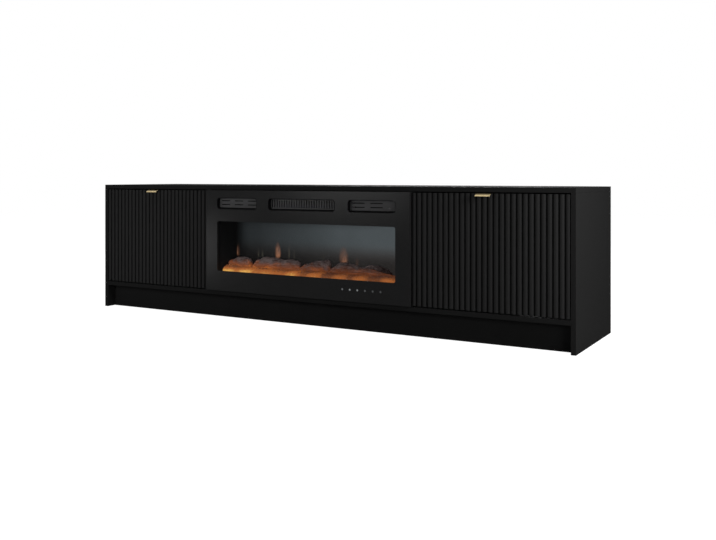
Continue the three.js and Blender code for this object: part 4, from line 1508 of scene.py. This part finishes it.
@dataclass
class FlutedDoor:
    """A drop-down door: a slab with rounded ribs, an edge pull, and what the door carries."""

    bench: Bench
    ribs: Graph
    side: Side
    pitch: float = 19.5 * MM
    land: float = 14.0 * MM
    depth: float = 4.0 * MM
    crown: float = 1.5 * MM
    edge: float = 0.9 * MM
    rib_angle: float = 40.0
    slab_ease: float = 0.4 * MM
    bore_radius: float = 3.8 * MM
    bore_depth: float = 26.0 * MM
    hinge_rise: float = 12.0 * MM
    pull_sheet: float = 1.5 * MM
    pull_bend: float = 2.0 * MM
    pull_droop: float = 10.0 * MM
    pull_ease: float = 0.45 * MM
    pull_cuts: int = 3
    pull_crease: float = 50.0
    pull_steps: int = 14
    bend_steps: int = 6
    screw: Point3 = (2.6 * MM, 0.9 * MM, 0.6 * MM)
    screw_turn: tuple[float, int] = (1.2, 4)
    screw_spacing: float = 30.0 * MM
    screw_rise: float = 8.0 * MM
    fittings: tuple[Trim, ...] = (
        Trim("door_outer_bush", Slot.NYLON, 0.25, degrees=40.0),
        Trim("door_outer_pin", Slot.BLACK_STEEL, 0.3, degrees=40.0),
        Trim("door_inner_bush", Slot.NYLON, 0.25, degrees=40.0),
        Trim("door_inner_pin", Slot.BLACK_STEEL, 0.3, degrees=40.0),
        Trim("stay_lever", Slot.BRIGHT_STEEL, 0.3, degrees=40.0),
        Trim("stay_plate", Slot.BRIGHT_STEEL, 0.3, degrees=40.0),
        Trim("magnet_catch", Slot.PLASTIC, 0.8, 3),
        Trim("strike_plate", Slot.BRIGHT_STEEL, 0.35),
    )

    def build(self) -> None:
        """Makes the door, its pull and its fittings."""
        self.panel()
        self.pull()
        self.bench.refine(*self.fittings, prefix=self.side.value + "_")

    def panel(self) -> None:
        """Makes the fluted panel in its own corner, then sets it in its place."""
        node = f"{self.side.value}_door"
        low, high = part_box(node)
        length, thickness, height = high - low
        outline = [(self.depth, 0.0), (thickness, 0.0), (thickness, height), (self.depth, height)]
        slab = eased(prism(node + "_made", outline, (0.0, length)), self.slab_ease)
        self.ribs.bake(
            slab,
            {
                "Length": length,
                "Height": height,
                "Pitch": self.pitch,
                "Land": self.land,
                "Depth": self.depth,
                "Crown": self.crown,
                "Edge": self.edge,
                "Bore Radius": self.bore_radius,
                "Bore Depth": self.bore_depth,
                "Bore Rise": self.hinge_rise,
                "Ribs": math.ceil(length / self.pitch),
                "Material": self.bench.materials[Slot.FLUTED],
            },
        )
        slab.data.transform(Matrix.Translation(low))
        self.bench.place(smoothed(outward(slab), self.rib_angle), Slot.FLUTED, node, body=self.side.door_body)

    def pull(self) -> None:
        """Makes the edge pull of bent sheet: a drooping tab in front, a top, and a leg behind the door."""
        node = f"{self.side.value}_handle"
        low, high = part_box(node)
        half = self.pull_sheet / 2
        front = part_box(f"{self.side.value}_door")[0].y
        proud, droop = front - low.y, self.pull_droop
        radius = (proud**2 + droop**2) / (2 * droop)
        sweep = 2 * math.atan2(droop, proud)
        turns = [sweep * (1 - i / self.pull_steps) for i in range(self.pull_steps)]
        reach = radius - half
        tab = [(front - reach * math.sin(t), high.z - radius + reach * math.cos(t)) for t in turns]
        leg = [(front, high.z - half), (high.y - half, high.z - half), (high.y - half, low.z)]
        outline = ribbon([*tab, *rounded_path(leg, self.pull_bend, self.bend_steps)], self.pull_sheet)
        bar = prism(node + "_made", outline, (low.x, high.x))
        pull = eased(bar, self.pull_ease, self.pull_cuts, self.pull_crease)
        self.bench.place(pull, Slot.GOLD, node, body=self.side.door_body)
        head = disc_head(node + "_screws", *self.screw)
        start = ((low.x + high.x - self.screw_spacing) / 2, high.y, low.z + self.screw_rise)
        columns = (2, (self.screw_spacing, 0.0, 0.0))
        body = self.side.door_body
        self.bench.repeat(head, Slot.BRIGHT_STEEL, start, columns, turn=self.screw_turn, body=body)


@dataclass(frozen=True)
class VentShape:
    """One vent: its node, its slots' counts, and their sizes in millimetres."""

    node: str
    columns: int
    rows: int
    post: float
    bar: float
    height: float
    margin: float
    blank: float = 0.0


@dataclass
class FirePanel:
    """The front of the electric fire: steel tray, glass, vents, receiver, touch keys and guide blades."""

    bench: Bench
    slots: Graph
    wall: float = 1.5 * MM
    plate: float = 2.0 * MM
    corner: float = 11.7 * MM
    sill: float = 4.5 * MM
    sill_depths: Point2 = (0.7, 0.3)
    slot_round: float = 0.49
    cut_depth: float = 8.0 * MM
    ease: float = 0.35 * MM
    lean: float = 0.2
    vents: tuple[VentShape, ...] = (
        VentShape("left_vent_grille", 3, 2, 22.0, 11.3, 3.2, 9.0),
        VentShape("right_vent_grille", 2, 2, 22.0, 11.3, 3.2, 9.0, 46.0),
        VentShape("heater_grille", 26, 1, 5.6, 0.0, 30.4, 5.0),
    )
    sheets: tuple[Trim, ...] = (
        Trim("fire_front_panel", Slot.PANEL, 0.5, degrees=40.0),
        Trim("window_glass", Slot.GLASS, 0.4),
    )
    controls: tuple[Trim, ...] = (
        Trim("ir_receiver", Slot.INFRARED, 0.4, 3, 40.0),
        Trim("touch_key_strip", Slot.GREY_PLASTIC, 0.2, degrees=40.0),
    )
    blade_count: int = 52
    blade_ends: float = 8.0 * MM
    blade_heads: float = 7.0 * MM
    blade_slope: float = 3.2 * MM
    blade_half: float = 0.5 * MM
    blade_span: Point2 = (0.4 * MM, 6.4 * MM)
    blade_ease: float = 0.15 * MM

    def build(self) -> None:
        """Makes the front of the fire."""
        vent_paint = VENT_PAINT.made()
        self.bench.refine(*self.sheets)
        for vent in self.vents:
            self.vent(vent, vent_paint)
        self.bench.refine(*self.controls)
        self.blades(vent_paint)

    def vent(self, shape: VentShape, paint: bpy.types.Material) -> None:
        """Makes one vent: a rounded pocket, a sill in it, and a slotted plate at its bottom.

        Args:
            shape: the vent's node and slots.
            paint: the plate's material.
        """
        low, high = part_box(shape.node)
        spans = [(low.x, high.x), (low.z, high.z)]
        outer = rounded_corners(*spans, self.corner)
        inner = rounded_corners(*((a + self.wall, b - self.wall) for a, b in spans), self.corner - self.wall)
        self.pocket(shape, outer, inner, (low.y, high.y))
        arc = len(inner) // 4
        sill = inner[:arc] + inner[-arc:]
        depths = [high.y - self.plate * share for share in self.sill_depths]
        strip = lofted(shape.node + "_sill", [[Vector((x, y, z)) for x, z in sill] for y in depths])
        self.bench.place(smoothed(strip), Slot.PLASTIC)
        self.slotted(shape, inner, paint)

    def pocket(
        self, shape: VentShape, outer: Sequence[Point2], inner: Sequence[Point2], depth: Point2
    ) -> None:
        """Makes the thin wall around a vent, with a rounded lip in front.

        Args:
            shape: the vent.
            outer: the wall's outline outside.
            inner: its outline inside.
            depth: Y of its front and back.
        """
        front, back = depth
        path = (
            (outer, inner, back, 0.0),
            (outer, inner, front + self.ease, 0.0),
            (outer, inner, front, self.lean),
            (inner, outer, front, self.lean),
            (inner, outer, front + self.ease, 0.0),
            (inner, outer, back, 0.0),
        )
        rings = [
            [Vector((x + (u - x) * lean, y, z + (w - z) * lean)) for (x, z), (u, w) in zip(near, far)]
            for near, far, y, lean in path
        ]
        pocket = lofted(shape.node + "_pocket", [*rings, rings[0]], Ends.OPEN)
        self.bench.place(smoothed(outward(pocket)), Slot.PLASTIC, shape.node)

    def slotted(self, shape: VentShape, inner: Sequence[Point2], paint: bpy.types.Material) -> None:
        """Makes the slotted plate at the bottom of a vent.

        Args:
            shape: the vent.
            inner: outline of the pocket inside.
            paint: the plate's material.
        """
        low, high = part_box(shape.node)
        foot = low.z + self.wall + self.sill
        outline = [(x, max(z, foot)) for x, z in inner]
        depths = (high.y - self.plate, high.y)
        name = shape.node.replace("_grille", "") + "_plate"
        plate = lofted(name, [[Vector((x, y, z)) for x, z in outline] for y in depths])
        inset = self.wall + shape.margin * MM
        width = high.x - low.x - 2 * inset - shape.blank * MM
        length = (width - (shape.columns - 1) * shape.post * MM) / shape.columns
        height, rise = shape.height * MM, (shape.height + shape.bar) * MM
        middle = (foot + high.z) / 2 - (shape.rows - 1) * rise / 2
        self.slots.bake(
            plate,
            {
                "Columns": shape.columns,
                "Rows": shape.rows,
                "Column Step": (length + shape.post * MM, 0.0, 0.0),
                "Row Step": (0.0, 0.0, rise),
                "Start": (low.x + inset + length / 2, high.y, middle),
                "Slot Length": length,
                "Slot Height": height,
                "Corner": min(length, height) * self.slot_round,
                "Deep": self.cut_depth,
                "Material": paint,
            },
        )
        self.bench.place(smoothed(plate), Slot.PLASTIC, material=paint)

    def blades(self, paint: bpy.types.Material) -> None:
        """Makes the slanted guide blades behind the heater's grille.

        Args:
            paint: the blades' material.
        """
        low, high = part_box("heater_grille")
        half, slope = self.blade_half, self.blade_slope
        near, far = (high.y + place for place in self.blade_span)
        outline = ((-half, near), (half, near), (half + slope, far), (-half + slope, far))
        heights = (low.z + self.blade_heads, high.z - self.blade_heads)
        rings = [[Vector((x, y, z)) for x, y in outline] for z in heights]
        blade = eased(lofted("heater_guide_blades", rings, Ends.FLAT), self.blade_ease)
        pitch = (high.x - low.x - 2 * self.blade_ends) / self.blade_count
        start = (low.x + self.blade_ends + pitch / 2, 0.0, 0.0)
        columns = (self.blade_count, (pitch, 0.0, 0.0))
        self.bench.repeat(blade, Slot.PLASTIC, start, columns, material=paint)


@dataclass
class FireCase:
    """The steel case and what it hides: chamber, spindle, blower, heater, control board and cord entry."""

    bench: Bench
    screw: Point3 = (3.2 * MM, 1.8 * MM, 1.1 * MM)
    screw_turn: tuple[float, int] = (1.5, 9)
    screw_inset: float = 9.0 * MM
    screws_across: int = 6
    insides: tuple[Trim, ...] = (
        Trim("fire_case", Slot.BLACK_STEEL, 0.4, degrees=40.0),
        Trim("chamber_liner", Slot.BLACK_STEEL, 0.3, degrees=40.0),
        Trim("chamber_ceiling", Slot.BLACK_STEEL, 0.3),
        Trim("ember_led_strip", Slot.CIRCUIT, 0.2),
        Trim("flame_spindle", Slot.ALUMINIUM, 0.15, 1, 40.0),
        Trim("spindle_motor", Slot.BRIGHT_STEEL, 0.5, 3, 40.0),
        Trim("blower_wheel", Slot.ALUMINIUM, 0.15, 1, 40.0),
        Trim("blower_housing", Slot.BLACK_STEEL, 0.3, degrees=40.0),
        Trim("blower_motor", Slot.BRIGHT_STEEL, 0.5, 3, 40.0),
        Trim("heating_element", Slot.CERAMIC, 0.2, 1, 40.0),
        Trim("control_board", Slot.CIRCUIT, 0.3, degrees=40.0),
        Trim("cord_gland", Slot.PLASTIC, 0.5, 3, 40.0),
    )

    def build(self) -> None:
        """Makes the case, its insides, and the pan-head screws along the edges of its back."""
        self.bench.refine(*self.insides)
        low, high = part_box("fire_case")
        left, right = (corner.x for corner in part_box("chamber_liner"))
        inset = self.screw_inset
        step = (right - left - 2 * inset) / (self.screws_across - 1)
        head = disc_head("fire_case_screws", *self.screw)
        start = (left + inset, high.y, low.z + inset)
        columns = (self.screws_across, (step, 0.0, 0.0))
        rows = (2, (0.0, 0.0, high.z - low.z - 2 * inset))
        self.bench.repeat(head, Slot.BRIGHT_STEEL, start, columns, rows, self.screw_turn)


@dataclass
class EmberBed:
    """The lit moulding under the logs: a lumpy ridge in front, a shelf behind, and loose coals on both.

    Its section, ridge, crest, skirt and ground are in millimetres, as Y and Z from its lowest front edge.
    """

    bench: Bench
    coals: Graph
    step: float = 2.6 * MM
    lump: float = 3.2 * MM
    wave: float = 1.6 * MM
    wave_length: float = 0.062
    cells: float = 62.0
    joint_slope: float = 2.2
    joint_share: float = 0.8
    grit: float = 150.0
    grit_noise: tuple[float, float, int] = (0.9, 2.0, 3)
    grit_share: float = 0.2
    end_gap: float = 8.0 * MM
    seed: int = 11
    ridge: float = 24.0
    crest: Point2 = (2.0, 20.0)
    skirt: float = 4.0
    coal_spacing: float = 8.0 * MM
    coal_density: float = 9000.0
    coal_sizes: Point2 = (2.0 * MM, 4.2 * MM)
    crease: float = 70.0
    coal_crease: float = 60.0
    section: tuple[Point2, ...] = ((0, 0), (0, 10), (9, 17), (24, 20), (88, 22), (88, 0))
    bank_places: tuple[float, ...] = (0.0, 0.04, 0.10, 0.18, 0.82, 0.93, 0.975, 1.0)
    bank_heights: tuple[float, ...] = (1.55, 1.75, 1.3, 1.0, 1.0, 1.55, 1.4, 0.9)
    ground: tuple[Point2, ...] = ((3.0, 11.5), (9.0, 16.0), (24.0, 19.0), (74.0, 21.5))

    def outline(self) -> list[Point2]:
        """The bed's section as closely spaced points, from its front foot over the ridge to its back foot.

        Returns:
            The points, in millimetres.
        """
        points: list[Point2] = []
        for (y0, z0), (y1, z1) in zip(self.section, self.section[1:]):
            count = max(1, round(math.hypot(y1 - y0, z1 - z0) * MM / self.step))
            points += [(y0 + (y1 - y0) * i / count, z0 + (z1 - z0) * i / count) for i in range(count)]
        points.append(self.section[-1])
        return points

    def relief(self, point: Vector) -> float:
        """Depth of the coals' joints at a point.

        Args:
            point: the point.

        Returns:
            The depth, from 0 on a crown to 1 in a joint.
        """
        near, _ = noise.voronoi(point * self.cells)
        joint = 1.0 - min(1.0, (near[1] - near[0]) * self.joint_slope)
        rough = noise.fractal(point * self.grit, *self.grit_noise)
        return joint * self.joint_share + self.grit_share * rough

    def column(self, low: Vector, x: float, share: float) -> list[Vector]:
        """The bed's section at one place, banked, waved and broken up into coals.

        Args:
            low: lowest corner of the bed.
            x: where the section is.
            share: how far along the bed that is, from 0 to 1.

        Returns:
            The section's points.
        """
        heap = share_along(list(zip(self.bank_places, self.bank_heights)), share)
        swell = self.wave * math.sin(2 * math.pi * x / self.wave_length)
        outline = self.outline()
        points = []
        for j, (y, z) in enumerate(outline):
            rise = z * (heap if y < self.ridge else 1.0)
            point = Vector((x, low.y + y * MM, low.z + rise * MM))
            if 0 < j < len(outline) - 1 and z > self.skirt:
                joint = self.lump * max(0.0, self.relief(point + Vector((self.seed, 0, 0))))
                point.z += (swell if self.crest[0] < y < self.crest[1] else 0.0) - joint
            points.append(point)
        return points

    def build(self) -> None:
        """Makes the bed and the loose coals."""
        low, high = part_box("ember_bed")
        length = high.x - low.x
        count = round(length / self.step)
        work = bmesh.new()
        columns = []
        for i in range(count + 1):
            points = self.column(low, low.x + length * i / count, i / count)
            columns.append([work.verts.new(point) for point in points])
        size = len(columns[0])
        for left, right in zip(columns, columns[1:]):
            for j in range(size):
                k = (j + 1) % size
                work.faces.new((left[j], right[j], right[k], left[k]))
        work.faces.new(columns[0])
        work.faces.new(columns[-1])
        self.bench.place(smoothed(from_bmesh("ember_bed_made", work), self.crease), Slot.EMBER, "ember_bed")
        self.loose(low, high)

    def loose(self, low: Vector, high: Vector) -> None:
        """Scatters loose coals on the ridge and behind it.

        Args:
            low: lowest corner of the bed.
            high: highest corner of the bed.
        """
        work = bmesh.new()
        left, right = low.x + self.end_gap, high.x - self.end_gap
        for (y0, z0), (y1, z1) in zip(self.ground, self.ground[1:]):
            corners = ((left, y0, z0), (right, y0, z0), (right, y1, z1), (left, y1, z1))
            work.faces.new([work.verts.new((x, low.y + y * MM, low.z + z * MM)) for x, y, z in corners])
        coals = self.coals.bake(
            from_bmesh("loose_coals", work),
            {
                "Spacing": self.coal_spacing,
                "Density": self.coal_density,
                "Smallest": self.coal_sizes[0],
                "Largest": self.coal_sizes[1],
                "Seed": self.seed,
                "Material": self.bench.materials[Slot.EMBER],
            },
        )
        self.bench.place(smoothed(coals, self.coal_crease), Slot.EMBER)


@dataclass(frozen=True)
class LogShape:
    """One log: its node, and its height at places along it, as shares of its diameter and its length."""

    node: str
    seed: int
    places: tuple[float, ...]
    heights: tuple[float, ...]


@dataclass
class LogSet:
    """The moulded logs, with bark ridges, knots and broken ends."""

    bench: Bench
    rings: int = 96
    around: int = 64
    bark: float = 1.9 * MM
    bark_waves: Point2 = (26.0, 3.2)
    bark_noise: tuple[float, float, int] = (0.8, 2.1, 4)
    knot: float = 3.4 * MM
    knot_waves: Point2 = (34.0, 1.1)
    knot_least: float = -0.5
    drift: Point3 = (3.7, 1.3, 2.1)
    bow: float = 4.0 * MM
    bow_waves: float = 9.0
    shelf_rise: float = 22.0 * MM
    sink: float = 2.0 * MM
    lift: float = 0.02
    twist: float = 0.6
    end: float = 0.035
    end_share: float = 0.65
    flatness: float = 0.45
    crease: float = 75.0
    shapes: tuple[LogShape, ...] = (
        LogShape("log_far_left", 3, (0.0, 0.15, 0.39, 0.62, 0.85, 1.0), (0.66, 0.74, 1.0, 0.97, 0.9, 0.35)),
        LogShape(
            "log_left",
            8,
            (0.0, 0.12, 0.24, 0.55, 0.65, 0.73, 0.93, 1.0),
            (0.3, 0.82, 1.0, 0.96, 0.8, 0.9, 0.82, 0.35),
        ),
        LogShape("log_centre", 14, (0.0, 0.2, 0.48, 0.75, 0.88, 1.0), (0.3, 0.6, 0.82, 0.92, 1.0, 0.4)),
        LogShape("log_right", 21, (0.0, 0.15, 0.25, 0.33, 0.52, 1.0), (0.35, 0.93, 1.0, 0.88, 0.6, 0.14)),
        LogShape("log_back", 33, (0.0, 0.3, 0.6, 0.85, 1.0), (0.75, 1.08, 1.0, 0.7, 0.3)),
    )

    def build(self) -> None:
        """Makes every log, on the shelf under its node."""
        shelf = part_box("ember_bed")[0].z + self.shelf_rise
        for shape in self.shapes:
            rings = [self.ring(shape, shelf, i / self.rings) for i in range(self.rings + 1)]
            log = smoothed(lofted(shape.node + "_made", rings), self.crease)
            self.bench.place(log, Slot.LOG_RESIN, shape.node)

    def ring(self, shape: LogShape, shelf: float, share: float) -> list[Vector]:
        """One ring of a log's skin.

        Args:
            shape: the log's node and profile.
            shelf: height that the log lies on.
            share: how far along the log the ring is, from 0 to 1.

        Returns:
            The ring's points.
        """
        low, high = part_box(shape.node)
        x = low.x + (high.x - low.x) * share
        drift = Vector([shape.seed * step for step in self.drift])
        rise = share_along(list(zip(shape.places, shape.heights)), share)
        near_end = min(1.0, share / self.end, (1 - share) / self.end)
        cap = math.sqrt(max(0.0, 1 - (1 - near_end) ** 2)) * (1 - self.end_share) + self.end_share
        tall = (high.z - shelf) * rise
        half_tall = tall * cap / 2
        half_wide = (high.y - low.y) / 2 * (self.flatness + (1 - self.flatness) * rise) * cap
        base = shelf + tall * self.lift + half_tall
        lean = (low.y + high.y) / 2 + self.bow * noise.noise(Vector((x * self.bow_waves, shape.seed, 0)))

        def around(waves: Point2, angle: float) -> Vector:
            """Where the noise is read, with its waves along the log and around it."""
            return Vector((x * waves[0], math.cos(angle) * waves[1], math.sin(angle) * waves[1])) + drift

        points = []
        for j in range(self.around):
            angle = 2 * math.pi * j / self.around
            ridge = noise.fractal(around(self.bark_waves, angle + self.twist * share), *self.bark_noise)
            knot = max(self.knot_least, noise.noise(around(self.knot_waves, angle)))
            push = self.bark * ridge + self.knot * knot
            z = max(shelf - self.sink, base + (half_tall + push) * math.sin(angle))
            points.append(Vector((x, lean + (half_wide + push) * math.cos(angle), z)))
        return points


# Studio


@dataclass(frozen=True)
class SoftBox:
    """A rectangular lamp: where it stands, what it looks at, its size and its power."""

    name: str
    place: Point3
    target: Point3
    size: Point2
    power: float

    def hang(self) -> None:
        """Puts the lamp in the scene."""
        lamp = bpy.data.lights.new(self.name, "AREA")
        lamp.shape = "RECTANGLE"
        lamp.size, lamp.size_y = self.size
        lamp.energy = self.power
        stand = bpy.data.objects.new(self.name, lamp)
        stand.location = self.place
        look = Vector(self.target) - Vector(self.place)
        stand.rotation_euler = look.to_track_quat("-Z", "Y").to_euler()
        stand.visible_camera = False
        bpy.context.scene.collection.objects.link(stand)


@dataclass
class Studio:
    """The pale floor, the white surroundings, the lamps and the camera."""

    camera_place: Point3 = (1.71738, -2.78043, 0.54715)
    camera_yaw: float = 30.0
    lens: float = 42.659
    sensor: float = 36.0
    shift: float = -0.1308
    sky: float = 0.03
    sky_echo: float = 0.35
    floor_reach: float = 9.0
    floor_colour: Colour = (0.34, 0.34, 0.34)
    floor_roughness: float = 0.9
    floor_light: float = 0.99
    floor_echo: float = 0.11
    lamps: tuple[SoftBox, ...] = (
        SoftBox("key", (1.8, -0.45, 0.85), (1.0, -0.2, 0.4), (0.4, 0.4), 9.3),
        SoftBox("low_key", (2.4, -1.6, 0.6), (1.0, -0.2, 0.35), (0.6, 0.6), 6.2),
        SoftBox("fill", (-0.55, -1.5, 0.6), (-0.25, -0.2, 0.36), (0.6, 0.4), 3.4),
        SoftBox("panel_glow", (-1.10, -0.986, 0.200), (-0.46, -0.222, 0.28), (0.11, 0.26), 0.6),
        SoftBox("overhead", (-1.75, -0.95, 3.0), (-1.75, -0.6, 0.0), (3.6, 0.8), 13.0),
        SoftBox("rear", (-0.8, 2.6, 0.6), (0.0, 0.2, 0.3), (1.6, 0.6), 24.0),
        SoftBox("left", (-3.2, 0.55, 0.8), (-1.0, 0.1, 0.3), (1.2, 0.7), 20.0),
        SoftBox("top", (0.95, 1.2, 3.0), (0.75, 0.4, 0.4), (1.0, 2.4), 30.0),
    )

    def build(self) -> None:
        """Sets up the whole studio."""
        self.floor()
        self.surroundings()
        for lamp in self.lamps:
            lamp.hang()
        self.camera()
        bpy.context.scene.view_settings.view_transform = "Standard"

    @staticmethod
    def seen(wiring: Wiring, echo: float) -> Wire:
        """How strongly a ray sees the white surroundings.

        Args:
            wiring: tree that gets the nodes.
            echo: strength for reflections and for what is seen through glass.

        Returns:
            One for the camera's own rays, the echo for reflections, nothing for light on surfaces.
        """
        path = wiring.node("ShaderNodeLightPath", {}, "Is Camera Ray")
        rays = path.socket.node.outputs
        glossy, through = Wire(wiring, rays["Is Glossy Ray"]), Wire(wiring, rays["Is Transmission Ray"])
        return path | ((glossy | through) * echo)

    def floor(self) -> None:
        """Makes the floor: white to the eye, with a faint shadow of the stand."""
        mesh = bpy.data.meshes.new("studio_floor")
        far = self.floor_reach
        corners = [(-far, -far, 0), (far, -far, 0), (far, far, 0), (-far, far, 0)]
        mesh.from_pydata(corners, [], [(0, 1, 2, 3)])
        floor = stood("studio_floor", mesh)
        paint = Paint("studio_floor", WHITE)
        light = self.seen(paint, self.floor_echo) * self.floor_light
        paint.put(colour=self.floor_colour, roughness=self.floor_roughness, specular=0.0)
        paint.put(glow=WHITE, power=light)
        mesh.materials.append(paint.material)

    def surroundings(self) -> None:
        """Makes the world: white to the eye and in reflections, and a softer light on surfaces."""
        world = bpy.data.worlds.new("studio")
        world.use_nodes = True
        wiring = Wiring(world.node_tree)
        wiring.tree.nodes.clear()
        plain = wiring.node("ShaderNodeBackground", {"Color": WHITE, "Strength": self.sky})
        white = wiring.node("ShaderNodeBackground", {"Color": WHITE, "Strength": 1.0})
        mixed = wiring.node("ShaderNodeMixShader", {0: self.seen(wiring, self.sky_echo), 1: plain, 2: white})
        last = wiring.tree.nodes.new("ShaderNodeOutputWorld")
        wiring.join(last.inputs["Surface"], mixed)
        bpy.context.scene.world = world

    def camera(self) -> None:
        """Sets the camera where the photograph was taken from."""
        lens = bpy.data.cameras.new("camera")
        lens.lens = self.lens
        lens.sensor_width = self.sensor
        lens.shift_y = self.shift
        camera = bpy.data.objects.new("camera", lens)
        camera.location = self.camera_place
        camera.rotation_euler = (math.pi / 2, 0.0, math.radians(self.camera_yaw))
        bpy.context.scene.collection.objects.link(camera)
        bpy.context.scene.camera = camera


def main() -> None:
    """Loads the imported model, builds every class in order and notes the sizes."""
    logging.basicConfig(level=logging.INFO, format="%(name)s: %(message)s")
    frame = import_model()
    bench = Bench(frame)
    ribs, slots, coals = rib_graph(), slot_graph(), coal_graph()
    assemblies: list[Any] = [
        Cabinet(bench),
        *(FlutedDoor(bench, ribs, side) for side in Side),
        FirePanel(bench, slots),
        FireCase(bench),
        EmberBed(bench, coals),
        LogSet(bench),
    ]
    for assembly in assemblies:
        LOG.info("building %s", type(assembly).__name__)
        assembly.build()
    bench.refine(Trim("flame_screen", Slot.SCREEN, 0.3))
    Studio().build()
    LOG.info("%d pieces", bench.pieces)


if __name__ == "__main__":
    main()
